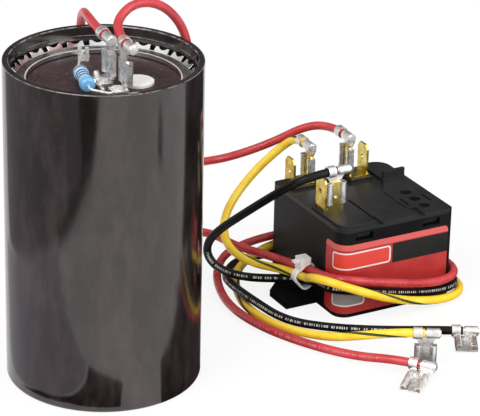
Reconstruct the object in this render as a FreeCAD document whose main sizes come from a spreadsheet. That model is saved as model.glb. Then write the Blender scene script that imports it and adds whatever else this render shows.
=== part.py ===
import FreeCAD, Part
import math
import os
import Sketcher

# Start relay and start capacitor, wired together.
# Origin: centre of the capacitor's base. X right, Y back, Z up. Millimetres.

doc = FreeCAD.newDocument("StartKit")
sheet = doc.addObject("Spreadsheet::Sheet", "dims")

SIZES = [
    ("case_radius", 32.55, "capacitor case, outside radius"),
    ("case_height", 111.1, "capacitor case, base to rim"),
    ("case_floor", 2.6, "case floor"),
    ("rim_wall", 2.1, "wall at the mouth"),
    ("rim_depth", 3.2, "depth of the wide mouth"),
    ("rim_step", 0.2, "step from the mouth to the cover seat"),
    ("ledge_depth", 11.1, "rim down to the ledge that carries the cover"),
    ("ledge_width", 1.4, "ledge"),
    ("base_round", 1.2, "round at the base"),
    ("rim_round", 0.4, "rounds at the rim"),
    ("gasket_thickness", 1.2, "rubber ring under the cover"),
    ("gasket_width", 6.1, "rubber ring, inside to outside"),
    ("cover_gap", 0.15, "running gap round the cover parts"),
    ("disc_thickness", 2.0, "cover disc"),
    ("disc_rim", 1.3, "raised rim of the disc"),
    ("disc_rim_width", 4.6, "raised rim, inside to outside"),
    ("ring_sheet", 0.5, "sheet of the push-on ring"),
    ("ring_gap", 0.1, "gap between the ring's lip and the disc's rim"),
    ("ring_lip", 1.0, "lip turned down inside the rim"),
    ("tooth_reach", 1.75, "length of the teeth"),
    ("tooth_rise", 1.7, "height of the teeth"),
    ("tooth_count", 24, "teeth"),
    ("slot_inner_half", 0.9, "half width of a slot at its root"),
    ("slot_outer_half", 1.55, "half width of a slot at the teeth's tips"),
    ("tooth_hollow", 2.9, "radius of the hollow in a tooth's tip"),
    ("tooth_hollow_out", 1.8, "centre of that hollow past the tips"),
    ("vent_x", 11.0, "vent plug"),
    ("vent_y", -0.6, "vent plug"),
    ("vent_radius", 5.3, "vent plug, head"),
    ("vent_height", 0.9, "vent plug, head"),
    ("vent_stem", 1.9, "vent plug, stem radius"),
    ("roll_gap", 3.35, "wound roll to the case's bore"),
    ("roll_bore", 2.5, "wound roll, mandrel hole"),
    ("roll_headroom", 8.0, "wound roll up to the ledge"),
    ("foil_width", 4.0, "foil strip"),
    ("foil_thickness", 0.5, "foil strip"),
    ("tab_one_x", 1.9, "first capacitor blade"),
    ("tab_one_y", -0.6, "first capacitor blade"),
    ("tab_two_x", 7.3, "second capacitor blade"),
    ("tab_two_y", -7.2, "second capacitor blade"),
    ("tab_turn", 114.85, "turn of both blades about Z"),
    ("blade_width", 6.35, "quick-connect blade"),
    ("blade_thickness", 0.8, "quick-connect blade"),
    ("blade_chamfer", 1.2, "blade tip chamfer"),
    ("blade_hole", 0.9, "blade hole radius"),
    ("blade_hole_drop", 5.2, "tip to hole"),
    ("tab_height", 10.4, "capacitor blade above the disc"),
    ("tab_stem_width", 3.2, "narrow stem under the blade"),
    ("tab_stem_height", 1.8, "narrow stem under the blade"),
    ("tab_foot_half", 2.6, "half width of the blade's foot"),
    ("tab_foot_reach", 4.9, "reach of the foot"),
    ("tab_foot_long", 5.4, "long side of the first foot"),
    ("tail_reach", 6.9, "strip beside the first foot"),
    ("tail_width", 1.2, "strip beside the first foot"),
    ("solder_radius", 1.75, "solder on the first foot"),
    ("solder_height", 2.7, "solder on the first foot"),
    ("rivet_offset", 2.64, "blade to rivet"),
    ("rivet_radius", 1.3, "rivet shank"),
    ("rivet_head", 1.9, "rivet head radius"),
    ("rivet_head_height", 0.6, "rivet head"),
    ("rivet_gap", 0.05, "gap round each shank"),
    ("lug_inset", 3.66, "solder lug's rivet in from the disc's rim"),
    ("lug_turn", 110.92, "place of the solder lug round the axis"),
    ("lug_sheet", 0.6, "solder lug"),
    ("lug_width", 3.6, "solder lug"),
    ("lug_height", 4.8, "solder lug"),
    ("lug_back", 2.6, "rivet to the upright of the lug"),
    ("resistor_x", -4.1, "front end of the resistor"),
    ("resistor_y", -11.2, "front end of the resistor"),
    ("resistor_lift", 2.6, "axis above the disc"),
    ("resistor_turn", 105.66, "turn of the resistor about Z"),
    ("resistor_length", 13.8, "resistor"),
    ("resistor_radius", 2.45, "resistor, ends"),
    ("resistor_waist", 2.15, "resistor, middle"),
    ("resistor_cap", 3.2, "length of the thick ends"),
    ("thin_wire", 0.4, "radius of the resistor's leads"),
    ("thin_straight", 3.1, "straight ends of those leads"),
    ("thin_rise", 0.9, "rise of the back lead on its way"),
    ("thin_along", 1.8, "end of the front lead on the second foot"),
    ("thin_across", 4.5, "end of the front lead on the second foot"),
    ("flag_width", 7.6, "flag receptacle"),
    ("flag_roll", 1.15, "outside radius of its rolls"),
    ("flag_sheet", 0.4, "its sheet"),
    ("flag_slack", 0.05, "rolls above the blade"),
    ("flag_length", 8.0, "length of its rolls"),
    ("flag_rise", 12.8, "mouth to the barrel's axis"),
    ("flag_neck", 4.8, "neck over the rolls"),
    ("barrel_offset", 1.0, "barrel's axis from the blade's middle"),
    ("barrel_half", 4.5, "half of the barrel's length"),
    ("crimp_radius", 1.75, "wire crimp"),
    ("crimp_length", 4.6, "wire crimp"),
    ("sleeve_wall", 0.4, "insulation crimp"),
    ("sleeve_gap", 0.18, "insulation crimp over the lead"),
    ("sleeve_length", 3.0, "insulation crimp"),
    ("strand_radius", 1.2, "bare strands"),
    ("strand_end", 0.7, "where the insulation stops"),
    ("lead_diameter", 3.05, "insulated lead"),
    ("relay_x", 79.69, "relay's front corner"),
    ("relay_y", 40.61, "relay's front corner"),
    ("relay_turn", 29.49, "turn of the relay about Z"),
    ("relay_length", 46.0, "relay, along the label"),
    ("relay_depth", 48.5, "relay, front to back"),
    ("relay_height", 34.1, "relay, base to cover plate"),
    ("relay_wall", 1.8, "housing wall"),
    ("relay_floor", 1.8, "housing floor"),
    ("plate_thickness", 1.7, "cover plate"),
    ("front_round", 5.0, "front corner"),
    ("far_round", 5.5, "opposite corner"),
    ("corner_round", 1.6, "other two corners"),
    ("foot_length", 12.3, "mounting foot"),
    ("foot_start", 15.2, "mounting foot from the label face"),
    ("foot_width", 17.0, "mounting foot"),
    ("foot_thickness", 2.4, "mounting foot"),
    ("foot_cut", 4.9, "cut corner of the foot"),
    ("ridge_at", 24.0, "ridge on the foot"),
    ("ridge_width", 1.2, "ridge on the foot"),
    ("ridge_height", 0.6, "ridge on the foot"),
    ("window_one", 5.9, "first snap window"),
    ("window_two", 33.4, "second snap window"),
    ("window_width", 7.1, "snap window"),
    ("window_drop", 5.1, "cover's top to the window's sill"),
    ("window_height", 2.6, "snap window"),
    ("lip_gap", 0.15, "gap round the cover's lip"),
    ("lip_thickness", 1.2, "cover's lip"),
    ("lip_depth", 3.2, "cover's lip"),
    ("hook_width", 5.6, "snap hook"),
    ("hook_reach", 1.05, "snap hook past the lip"),
    ("hook_height", 1.8, "snap hook"),
    ("hook_top", 1.0, "plate's underside to the hook's catch"),
    ("raised_length", 14.5, "raised pad at the front terminal"),
    ("raised_depth", 22.0, "raised pad at the front terminal"),
    ("raised_edge", 0.7, "raised pad, set in"),
    ("raised_height", 0.8, "raised pad"),
    ("raised_round", 4.2, "raised pad's corner"),
    ("recess_depth", 1.1, "sunk fields of the cover"),
    ("field_start", 22.5, "sunk field at the back terminal"),
    ("field_end", 36.7, "sunk field at the back terminal"),
    ("field_front", 32.4, "sunk field at the back terminal"),
    ("field_tip_x", 31.2, "tip of the sunk field"),
    ("field_tip_y", 23.2, "tip of the sunk field"),
    ("side_start", 1.2, "sunk field at the left"),
    ("side_end", 12.6, "sunk field at the left"),
    ("side_front", 26.5, "sunk field at the left"),
    ("side_back", 39.4, "sunk field at the left"),
    ("block_start", 25.4, "block under the back-right terminal"),
    ("block_end", 34.4, "block under the back-right terminal"),
    ("block_front", 36.4, "block under the back-right terminal"),
    ("block_back", 46.2, "block under the back-right terminal"),
    ("block_height", 1.4, "block above the sunk field"),
    ("rib_at", 33.0, "upright rib"),
    ("rib_thickness", 1.2, "upright rib"),
    ("rib_start", 37.0, "upright rib"),
    ("rib_height", 2.9, "upright rib"),
    ("groove_width", 0.6, "narrow groove"),
    ("groove_depth", 0.8, "grooves"),
    ("groove_at", 30.8, "narrow groove"),
    ("groove_end", 22.8, "narrow groove"),
    ("channel_at", 15.6, "wide groove"),
    ("channel_width", 1.6, "wide groove"),
    ("channel_end", 22.4, "wide groove"),
    ("catch_reach", 6.3, "wide end of the groove"),
    ("catch_width", 2.7, "wide end of the groove"),
    ("notch_at", 31.6, "notch at the front edge"),
    ("notch_width", 2.6, "notch at the front edge"),
    ("notch_reach", 6.8, "notch at the front edge"),
    ("hole_radius", 2.1, "round holes of the cover"),
    ("hole_at", 38.1, "round holes of the cover"),
    ("hole_first", 6.9, "round holes of the cover"),
    ("hole_pitch", 6.3, "round holes of the cover"),
    ("hole_count", 3, "round holes of the cover"),
    ("slit_width", 0.9, "slits of the cover"),
    ("slit_length", 6.3, "slits of the cover"),
    ("slit_front", 9.2, "slits of the cover"),
    ("slit_one", 32.7, "slits of the cover"),
    ("slit_two", 41.9, "slits of the cover"),
    ("label_sheet", 0.2, "label"),
    ("label_bottom", 1.5, "label"),
    ("label_drop", 6.2, "cover's top down to the label"),
    ("label_side", 9.6, "label on the left face"),
    ("label_end", 44.1, "label on the front face"),
    ("strap", 0.8, "terminal's foot"),
    ("stake_width", 3.0, "stake through the cover"),
    ("stake_slack", 0.15, "slot round a stake"),
    ("stake_depth", 3.7, "stake below the plate's top"),
    ("left_one", 4.7, "back-left blades"),
    ("left_two", 11.9, "back-left blades"),
    ("left_middle", 44.4, "back-left blades"),
    ("left_height", 9.9, "back-left blades above the plate"),
    ("left_stake", 41.4, "back-left stakes"),
    ("right_one", 26.4, "back-right blades"),
    ("right_two", 33.4, "back-right blades"),
    ("right_middle", 41.6, "back-right blades"),
    ("right_height", 11.3, "back-right blades above their block"),
    ("right_stake", 39.6, "back-right stakes"),
    ("strap_lead", 4.6, "foot in front of the blades' middle"),
    ("strap_back", 3.4, "foot behind the blades' middle"),
    ("front_side", 2.4, "front terminal, side blade"),
    ("front_side_middle", 18.475, "front terminal, side blade"),
    ("front_side_height", 12.2, "front terminal, side blade above the pad"),
    ("front_face", 16.0, "front terminal, blade along the face"),
    ("front_face_middle", 6.775, "front terminal, blade along the face"),
    ("front_face_height", 10.3, "front terminal, blade along the face"),
    ("front_stake_x", 6.0, "front terminal's stake"),
    ("front_stake_y", 19.2, "front terminal's stake"),
    ("coil_x", 27.0, "coil axis"),
    ("coil_y", 22.0, "coil axis"),
    ("frame_sheet", 1.6, "magnet frame"),
    ("frame_width", 16.0, "magnet frame"),
    ("frame_start", 15.0, "magnet frame"),
    ("frame_end", 42.2, "magnet frame"),
    ("bracket_room", 2.2, "cover plate down to the contact bracket"),
    ("core_gap", 1.3, "iron core to the armature"),
    ("bobbin_radius", 12.0, "bobbin flange"),
    ("bobbin_flange", 1.2, "bobbin flange"),
    ("bobbin_hub", 5.2, "bobbin hub"),
    ("core_radius", 4.0, "iron core"),
    ("core_rise", 0.8, "core above the bobbin"),
    ("winding_radius", 11.0, "coil winding"),
    ("hinge_gap", 0.3, "armature above the frame"),
    ("armature_sheet", 1.2, "armature"),
    ("armature_start", 19.0, "armature"),
    ("armature_width", 14.0, "armature"),
    ("arm_start", 7.6, "contact arm"),
    ("arm_end", 30.0, "contact arm"),
    ("arm_width", 5.0, "contact arm"),
    ("arm_sheet", 0.4, "contact arm and spring"),
    ("contact_x", 10.0, "contacts"),
    ("contact_radius", 2.1, "contacts"),
    ("contact_height", 0.8, "contacts"),
    ("contact_gap", 0.3, "between the contacts"),
    ("bracket_start", 4.2, "fixed contact's bracket"),
    ("bracket_end", 13.0, "fixed contact's bracket"),
    ("bracket_front", 17.4, "fixed contact's bracket"),
    ("bracket_back", 26.0, "fixed contact's bracket"),
    ("spring_gap", 0.5, "spring behind the frame"),
    ("spring_reach", 11.0, "spring"),
    ("spring_width", 7.0, "spring"),
    ("tie_at", 18.0, "cable tie along the relay"),
    ("tie_red_out", 2.8, "upper corner inside the tie, from the relay"),
    ("tie_red_up", 12.94, "upper corner inside the tie"),
    ("tie_yellow_out", 5.77, "outer corner inside the tie, from the relay"),
    ("tie_yellow_up", 10.76, "outer corner inside the tie"),
    ("tie_black_out", 3.5, "lower corner inside the tie, from the relay"),
    ("tie_black_up", 7.96, "lower corner inside the tie"),
    ("tie_round", 1.9, "inside radius of the tie's corners"),
    ("tie_thickness", 0.8, "cable tie strap"),
    ("tie_width", 2.5, "cable tie strap"),
    ("tie_head_width", 4.1, "cable tie head"),
    ("tie_head_out", 4.4, "middle of the head from the relay"),
    ("tie_head_height", 2.6, "cable tie head over the strap"),
    ("tie_tail", 2.0, "cut tail of the tie"),
]

for row, (alias, value, note) in enumerate(SIZES, 1):
    sheet.set(f"A{row}", note)
    sheet.set(f"B{row}", str(value))
    sheet.setAlias(f"B{row}", alias)
doc.recompute()


class Size:
    # A number together with the expression that keeps it tied to the sheet.
    def __init__(self, value, text):
        self.value = float(value)
        self.text = text

    def __add__(self, other):
        other = as_size(other)
        return Size(self.value + other.value, f"({self.text} + {other.text})")

    def __sub__(self, other):
        other = as_size(other)
        return Size(self.value - other.value, f"({self.text} - {other.text})")

    def __mul__(self, other):
        other = as_size(other)
        return Size(self.value * other.value, f"({self.text} * {other.text})")

    def __truediv__(self, other):
        other = as_size(other)
        return Size(self.value / other.value, f"({self.text} / {other.text})")

    def __radd__(self, other):
        return as_size(other) + self

    def __rsub__(self, other):
        return as_size(other) - self

    def __rmul__(self, other):
        return as_size(other) * self

    def __neg__(self):
        return as_size(0) - self


def as_size(number):
    if isinstance(number, Size):
        return number
    return Size(number, f"{float(number):g}")


class Dims:
    def __getattr__(self, name):
        return Size(float(sheet.get(name)), f"dims.{name}")


d = Dims()
nodes = []


def keep(thing, name):
    thing.Label = name
    nodes.append(thing)
    return thing


def new_body(name):
    return keep(doc.addObject("PartDesign::Body", name), name)


def origin_plane(body, role):
    for feature in body.Origin.OriginFeatures:
        if feature.Role == role:
            return feature
    raise ValueError(role)


def bind(thing, prop, amount):
    amount = as_size(amount)
    setattr(thing, prop, amount.value)
    thing.setExpression(prop, amount.text)


def new_sketch(body, name, role, lift):
    sketch = body.newObject("Sketcher::SketchObject", name)
    sketch.AttachmentSupport = [(origin_plane(body, role), "")]
    sketch.MapMode = "FlatFace"
    lift = as_size(lift)
    sketch.AttachmentOffset = FreeCAD.Placement(FreeCAD.Vector(0, 0, lift.value), FreeCAD.Rotation())
    sketch.setExpression("AttachmentOffset.Base.z", lift.text)
    return sketch


def locate(sketch, geometry, corner, x, y):
    # Ties a point of the sketch to its two coordinates.
    for kind, amount, axis in (("DistanceX", x, -2), ("DistanceY", y, -1)):
        amount = as_size(amount)
        if amount.text == "0":
            sketch.addConstraint(Sketcher.Constraint("PointOnObject", geometry, corner, axis))
        else:
            index = sketch.addConstraint(
                Sketcher.Constraint(kind, -1, 1, geometry, corner, amount.value))
            sketch.setExpression(f"Constraints[{index}]", amount.text)


def outline(sketch, points):
    # A closed outline. A third number bends the edge that ends there: + turns left, - turns right.
    edges = []
    for index, point in enumerate(points):
        after = points[(index + 1) % len(points)]
        start = FreeCAD.Vector(as_size(point[0]).value, as_size(point[1]).value, 0)
        end = FreeCAD.Vector(as_size(after[0]).value, as_size(after[1]).value, 0)
        if len(after) == 2:
            edges.append((sketch.addGeometry(Part.LineSegment(start, end), False), 1, 2))
            continue
        radius = as_size(after[2]).value
        left = radius > 0
        half = (end - start) * 0.5
        across = FreeCAD.Vector(-half.y, half.x, 0)
        across.normalize()
        reach = math.sqrt(max(radius * radius - half.Length ** 2, 0.0))
        centre = start + half + across * (reach if left else -reach)
        first, last = (start, end) if left else (end, start)
        circle = Part.Circle(centre, FreeCAD.Vector(0, 0, 1), abs(radius))
        arc = Part.ArcOfCircle(
            circle,
            math.atan2(first.y - centre.y, first.x - centre.x),
            math.atan2(last.y - centre.y, last.x - centre.x))
        edge = sketch.addGeometry(arc, False)
        edges.append((edge, 1, 2) if left else (edge, 2, 1))
    for index, edge in enumerate(edges):
        following = edges[(index + 1) % len(edges)]
        sketch.addConstraint(
            Sketcher.Constraint("Coincident", edge[0], edge[2], following[0], following[1]))
    for edge, point in zip(edges, points):
        locate(sketch, edge[0], edge[1], point[0], point[1])
    for index, edge in enumerate(edges):
        after = points[(index + 1) % len(points)]
        if len(after) == 3:
            size = as_size(after[2])
            size = size if size.value > 0 else -size
            number = sketch.addConstraint(Sketcher.Constraint("Radius", edge[0], size.value))
            sketch.setExpression(f"Constraints[{number}]", size.text)


def disc(sketch, x, y, radius):
    centre = FreeCAD.Vector(as_size(x).value, as_size(y).value, 0)
    size = as_size(radius)
    circle = Part.Circle(centre, FreeCAD.Vector(0, 0, 1), size.value)
    edge = sketch.addGeometry(circle, False)
    locate(sketch, edge, 3, x, y)
    number = sketch.addConstraint(Sketcher.Constraint("Radius", edge, size.value))
    sketch.setExpression(f"Constraints[{number}]", size.text)


def box(x0, y0, x1, y1):
    return [(x0, y0), (x1, y0), (x1, y1), (x0, y1)]


def draw(sketch, shapes):
    for shape in shapes:
        if shape[0] == "disc":
            disc(sketch, *shape[1:])
        else:
            outline(sketch, shape)


def slab(body, name, along, low, high, shapes, cut=False):
    # Shapes drawn across one axis, then padded or pocketed from low to high along it.
    low = as_size(low)
    high = as_size(high)
    role, lift = {
        "z": ("XY_Plane", high if cut else low),
        "y": ("XZ_Plane", -low if cut else -high),
        "x": ("YZ_Plane", high if cut else low),
    }[along]
    sketch = new_sketch(body, f"{body.Name}_{name}_sketch", role, lift)
    draw(sketch, shapes)
    kind = "PartDesign::Pocket" if cut else "PartDesign::Pad"
    feature = body.newObject(kind, f"{body.Name}_{name}")
    feature.Profile = sketch
    bind(feature, "Length", high - low)
    body.Tip = feature
    return feature


def turned(body, name, points, cut=False):
    # A profile in radius and height, turned round the body's Z axis.
    sketch = new_sketch(body, f"{body.Name}_{name}_sketch", "XZ_Plane", 0)
    outline(sketch, points)
    kind = "PartDesign::Groove" if cut else "PartDesign::Revolution"
    feature = body.newObject(kind, f"{body.Name}_{name}")
    feature.Profile = sketch
    feature.ReferenceAxis = (sketch, ["V_Axis"])
    feature.Angle = 360.0
    body.Tip = feature
    return feature


def rounded(body, name, radius, test):
    # A fillet on every edge of the last feature that the test picks.
    doc.recompute()
    base = body.Tip
    picked = []
    for index, edge in enumerate(base.Shape.Edges, 1):
        if test(edge):
            picked.append(f"Edge{index}")
    if not picked:
        raise ValueError(f"{body.Name}: no edge for {name}")
    feature = body.newObject("PartDesign::Fillet", f"{body.Name}_{name}")
    feature.Base = (base, picked)
    bind(feature, "Radius", radius)
    body.Tip = feature
    return feature


def upright(x, y):
    x = as_size(x).value
    y = as_size(y).value

    def test(edge):
        if len(edge.Vertexes) != 2:
            return False
        return all(abs(v.X - x) < 0.01 and abs(v.Y - y) < 0.01 for v in edge.Vertexes)
    return test


def hoop(radius, height):
    radius = as_size(radius).value
    height = as_size(height).value

    def test(edge):
        box_of = edge.BoundBox
        flat = abs(box_of.ZMin - height) < 0.01 and abs(box_of.ZMax - height) < 0.01
        return flat and abs(box_of.XMax - radius) < 0.02 and abs(box_of.YMax - radius) < 0.02
    return test


def place(thing, x, y, z, turn):
    # Stands the piece at a point, turned about Z, all tied to the sheet.
    point = [as_size(value) for value in (x, y, z)]
    turn = as_size(turn)
    thing.Placement = FreeCAD.Placement(
        FreeCAD.Vector(*[value.value for value in point]),
        FreeCAD.Rotation(FreeCAD.Vector(0, 0, 1), turn.value))
    for axis, value in zip("xyz", point):
        thing.setExpression(f"Placement.Base.{axis}", value.text)
    if turn.text != "0":
        thing.setExpression("Placement.Rotation.Angle", turn.text)


def on_relay(thing):
    place(thing, d.relay_x, d.relay_y, 0, d.relay_turn)
    return thing


# Heights that the capacitor's cover parts share.
ledge = d.case_height - d.ledge_depth
disc_bottom = ledge + d.gasket_thickness
disc_top = disc_bottom + d.disc_thickness
rim_top = disc_top + d.disc_rim
mouth = d.case_radius - d.rim_wall
seat = mouth - d.rim_step
bore = seat - d.ledge_width
cover_radius = seat - d.cover_gap
rim_bore = cover_radius - d.disc_rim_width

# Capacitor case: a cup with a wide mouth, a seat for the cover and a ledge under it.
case = new_body("capacitor_case")
turned(case, "cup", [
    (0, 0), (d.case_radius, 0), (d.case_radius, d.case_height), (mouth, d.case_height),
    (mouth, d.case_height - d.rim_depth), (seat, d.case_height - d.rim_depth), (seat, ledge),
    (bore, ledge), (bore, d.case_floor), (0, d.case_floor)])
rounded(case, "base_edge", d.base_round, hoop(d.case_radius, 0))
rounded(case, "rim_outside", d.rim_round, hoop(d.case_radius, d.case_height))
rounded(case, "rim_inside", d.rim_round, hoop(mouth, d.case_height))

# The wound roll stands on the floor of the case.
roll = new_body("winding_roll")
roll_top = ledge - d.roll_headroom
slab(roll, "roll", "z", d.case_floor, roll_top,
     [("disc", 0, 0, bore - d.roll_gap), ("disc", 0, 0, d.roll_bore)])

gasket = new_body("cover_gasket")
gasket_bore = cover_radius - d.gasket_width
turned(gasket, "ring", [
    (gasket_bore, ledge), (cover_radius, ledge), (cover_radius, disc_bottom),
    (gasket_bore, disc_bottom)])

# Rivet places: beside each blade, on the side its foot points to, and under the lug.
turn_value = math.radians(d.tab_turn.value)
turn_cos = Size(math.cos(turn_value), "cos(dims.tab_turn * 1deg)")
turn_sin = Size(math.sin(turn_value), "sin(dims.tab_turn * 1deg)")
lug_value = math.radians(d.lug_turn.value)
lug_x = (rim_bore - d.lug_inset) * Size(math.cos(lug_value), "cos(dims.lug_turn * 1deg)")
lug_y = (rim_bore - d.lug_inset) * Size(math.sin(lug_value), "sin(dims.lug_turn * 1deg)")


def beside(x, y, along, across):
    return (x + turn_cos * along - turn_sin * across, y + turn_sin * along + turn_cos * across)


rivet_one = beside(d.tab_one_x, d.tab_one_y, 0, d.rivet_offset)
rivet_two = beside(d.tab_two_x, d.tab_two_y, 0, d.rivet_offset)
rivet_lug = (lug_x, lug_y)
shank_hole = d.rivet_radius + d.rivet_gap

# Phenolic cover disc with a raised rim and its rivet and vent holes.
cover_disc = new_body("cover_disc")
turned(cover_disc, "plate", [
    (0, disc_bottom), (cover_radius, disc_bottom), (cover_radius, rim_top),
    (rim_bore, rim_top), (rim_bore, disc_top), (0, disc_top)])
slab(cover_disc, "holes", "z", disc_bottom, disc_top, [
    ("disc", rivet_one[0], rivet_one[1], shank_hole),
    ("disc", rivet_two[0], rivet_two[1], shank_hole),
    ("disc", rivet_lug[0], rivet_lug[1], shank_hole),
    ("disc", d.vent_x, d.vent_y, d.vent_stem + d.rivet_gap)], cut=True)

# Push-on ring: a flat washer with a lip inside and raised, slotted teeth outside.
ring = new_body("star_ring")
lip_outer = rim_bore - d.ring_gap
lip_inner = lip_outer - d.ring_sheet
tooth_tip = cover_radius
tooth_root = tooth_tip - d.tooth_reach
turned(ring, "washer", [
    (lip_inner, rim_top - d.ring_lip), (lip_outer, rim_top - d.ring_lip), (lip_outer, rim_top),
    (tooth_root, rim_top), (tooth_tip, rim_top + d.tooth_rise),
    (tooth_tip - d.ring_sheet * 0.9, rim_top + d.tooth_rise + d.ring_sheet * 0.6),
    (tooth_root - d.ring_sheet * 0.5, rim_top + d.ring_sheet),
    (lip_inner, rim_top + d.ring_sheet)])
teeth_top = rim_top + d.tooth_rise + d.ring_sheet * 2
slot = slab(ring, "slot", "z", rim_top - d.ring_sheet, teeth_top, [[
    (tooth_root, -d.slot_inner_half), (d.case_radius, -d.slot_outer_half),
    (d.case_radius, d.slot_outer_half), (tooth_root, d.slot_inner_half)]], cut=True)
half_pitch = Size(math.pi / d.tooth_count.value, "(180deg / dims.tooth_count)")
hollow_at = tooth_tip + d.tooth_hollow_out
hollow = slab(ring, "hollow", "z", rim_top + d.ring_sheet, teeth_top, [
    ("disc", hollow_at * Size(math.cos(half_pitch.value), f"cos{half_pitch.text}"),
     hollow_at * Size(math.sin(half_pitch.value), f"sin{half_pitch.text}"),
     d.tooth_hollow)], cut=True)
teeth = ring.newObject("PartDesign::PolarPattern", "star_ring_teeth")
teeth.Originals = [slot, hollow]
teeth.Axis = (slot.Profile[0], ["N_Axis"])
teeth.Angle = 360.0
teeth.setExpression("Occurrences", "dims.tooth_count")
teeth.Occurrences = int(d.tooth_count.value)
ring.Tip = teeth

vent = new_body("vent_plug")
slab(vent, "head", "z", disc_top, disc_top + d.vent_height,
     [("disc", d.vent_x, d.vent_y, d.vent_radius)])
slab(vent, "stem", "z", disc_bottom, disc_top, [("disc", d.vent_x, d.vent_y, d.vent_stem)])

# Rivets: shank through the disc and a head at each end.
rivets = new_body("terminal_rivets")
for number, spot, sheet_under in (
        (1, rivet_one, d.blade_thickness), (2, rivet_two, d.blade_thickness), (3, rivet_lug, d.lug_sheet)):
    head_seat = disc_top + sheet_under
    slab(rivets, f"shank_{number}", "z", disc_bottom - d.rivet_head_height * 0.5, head_seat,
         [("disc", spot[0], spot[1], d.rivet_radius)])
    slab(rivets, f"tail_{number}", "z", disc_bottom - d.rivet_head_height, disc_bottom,
         [("disc", spot[0], spot[1], d.rivet_head)])
    slab(rivets, f"head_{number}", "z", head_seat, head_seat + d.rivet_head_height,
         [("disc", spot[0], spot[1], d.rivet_head)])

# Foil strips from the roll up to the two blade rivets.
strips = new_body("winding_tabs")
for number, spot in ((1, rivet_one), (2, rivet_two)):
    slab(strips, f"strip_{number}", "z", roll_top, disc_bottom - d.rivet_head_height, [
        box(spot[0] - d.foil_width * 0.5, spot[1] - d.foil_thickness * 0.5,
            spot[0] + d.foil_width * 0.5, spot[1] + d.foil_thickness * 0.5)])


def blade(body, name, along, middle, plane_at, root, tip, base_width=None):
    # An upright quick-connect blade with chamfered tip and a round hole.
    half = d.blade_width * 0.5
    near = plane_at - d.blade_thickness * 0.5
    far = plane_at + d.blade_thickness * 0.5
    shape = [(middle - half, root), (middle + half, root), (middle + half, tip - d.blade_chamfer * 1.4),
             (middle + half - d.blade_chamfer, tip), (middle - half + d.blade_chamfer, tip),
             (middle - half, tip - d.blade_chamfer * 1.4)]
    if base_width is not None:
        stem = base_width * 0.5
        shoulder = root + d.tab_stem_height
        shape = [(middle - stem, root), (middle + stem, root), (middle + stem, shoulder),
                 (middle + half, shoulder)] + shape[2:] + [
                     (middle - half, shoulder), (middle - stem, shoulder)]
    hole = ("disc", middle, tip - d.blade_hole_drop, d.blade_hole)
    slab(body, name, along, near, far, [shape, hole])


def capacitor_tab(name, x, y, long_side, with_tail):
    tab = new_body(name)
    foot = [(-d.tab_foot_half, -d.blade_thickness * 0.5), (long_side, -d.blade_thickness * 0.5),
            (long_side, d.tab_foot_reach), (-d.tab_foot_half, d.tab_foot_reach)]
    if with_tail:
        foot = foot[:3] + [
            (-d.tab_foot_half, d.tab_foot_reach + d.tail_width * 0.25),
            (-d.tail_reach, d.tab_foot_reach + d.tail_width * 0.5),
            (-d.tail_reach, d.tab_foot_reach - d.tail_width * 0.5),
            (-d.tab_foot_half, d.tab_foot_reach - d.tail_width * 0.75)]
    hole = ("disc", 0, d.rivet_offset, shank_hole)
    slab(tab, "foot", "z", disc_top, disc_top + d.blade_thickness, [foot, hole])
    blade(tab, "blade", "y", as_size(0), as_size(0), disc_top, disc_top + d.tab_height, d.tab_stem_width)
    if with_tail:
        middle = long_side - d.solder_radius
        centre_y = d.tab_foot_reach - d.solder_radius
        lump = tab.newObject("PartDesign::AdditiveCone", f"{name}_solder")
        lump.AttachmentSupport = [(origin_plane(tab, "XY_Plane"), "")]
        lump.MapMode = "FlatFace"
        lump.AttachmentOffset = FreeCAD.Placement(
            FreeCAD.Vector(middle.value, centre_y.value, (disc_top + d.blade_thickness * 0.5).value),
            FreeCAD.Rotation())
        lump.setExpression("AttachmentOffset.Base.x", middle.text)
        lump.setExpression("AttachmentOffset.Base.y", centre_y.text)
        lump.setExpression("AttachmentOffset.Base.z", (disc_top + d.blade_thickness * 0.5).text)
        bind(lump, "Radius1", d.solder_radius)
        bind(lump, "Radius2", d.solder_radius * 0.45)
        bind(lump, "Height", d.solder_height)
        tab.Tip = lump
    place(tab, x, y, 0, d.tab_turn)
    return tab


capacitor_tab("capacitor_tab_1", d.tab_one_x, d.tab_one_y, d.tab_foot_long, True)
capacitor_tab("capacitor_tab_2", d.tab_two_x, d.tab_two_y, d.tab_foot_half, False)

# Solder lug: a flat foot under its rivet and a forked upright.
lug = new_body("solder_lug")
lug_half = d.lug_width * 0.5
slab(lug, "foot", "z", disc_top, disc_top + d.lug_sheet, [
    box(lug_x - lug_half, lug_y - d.lug_back, lug_x + lug_half, lug_y + lug_half),
    ("disc", lug_x, lug_y, shank_hole)])
slab(lug, "upright", "y", lug_y - d.lug_back, lug_y - d.lug_back + d.lug_sheet, [[
    (lug_x - lug_half, disc_top), (lug_x + lug_half, disc_top),
    (lug_x + lug_half, disc_top + d.lug_height), (lug_x + lug_half * 0.35, disc_top + d.lug_height),
    (lug_x + lug_half * 0.35, disc_top + d.lug_height * 0.72),
    (lug_x - lug_half * 0.35, disc_top + d.lug_height * 0.72),
    (lug_x - lug_half * 0.35, disc_top + d.lug_height), (lug_x - lug_half, disc_top + d.lug_height)]])

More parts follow.
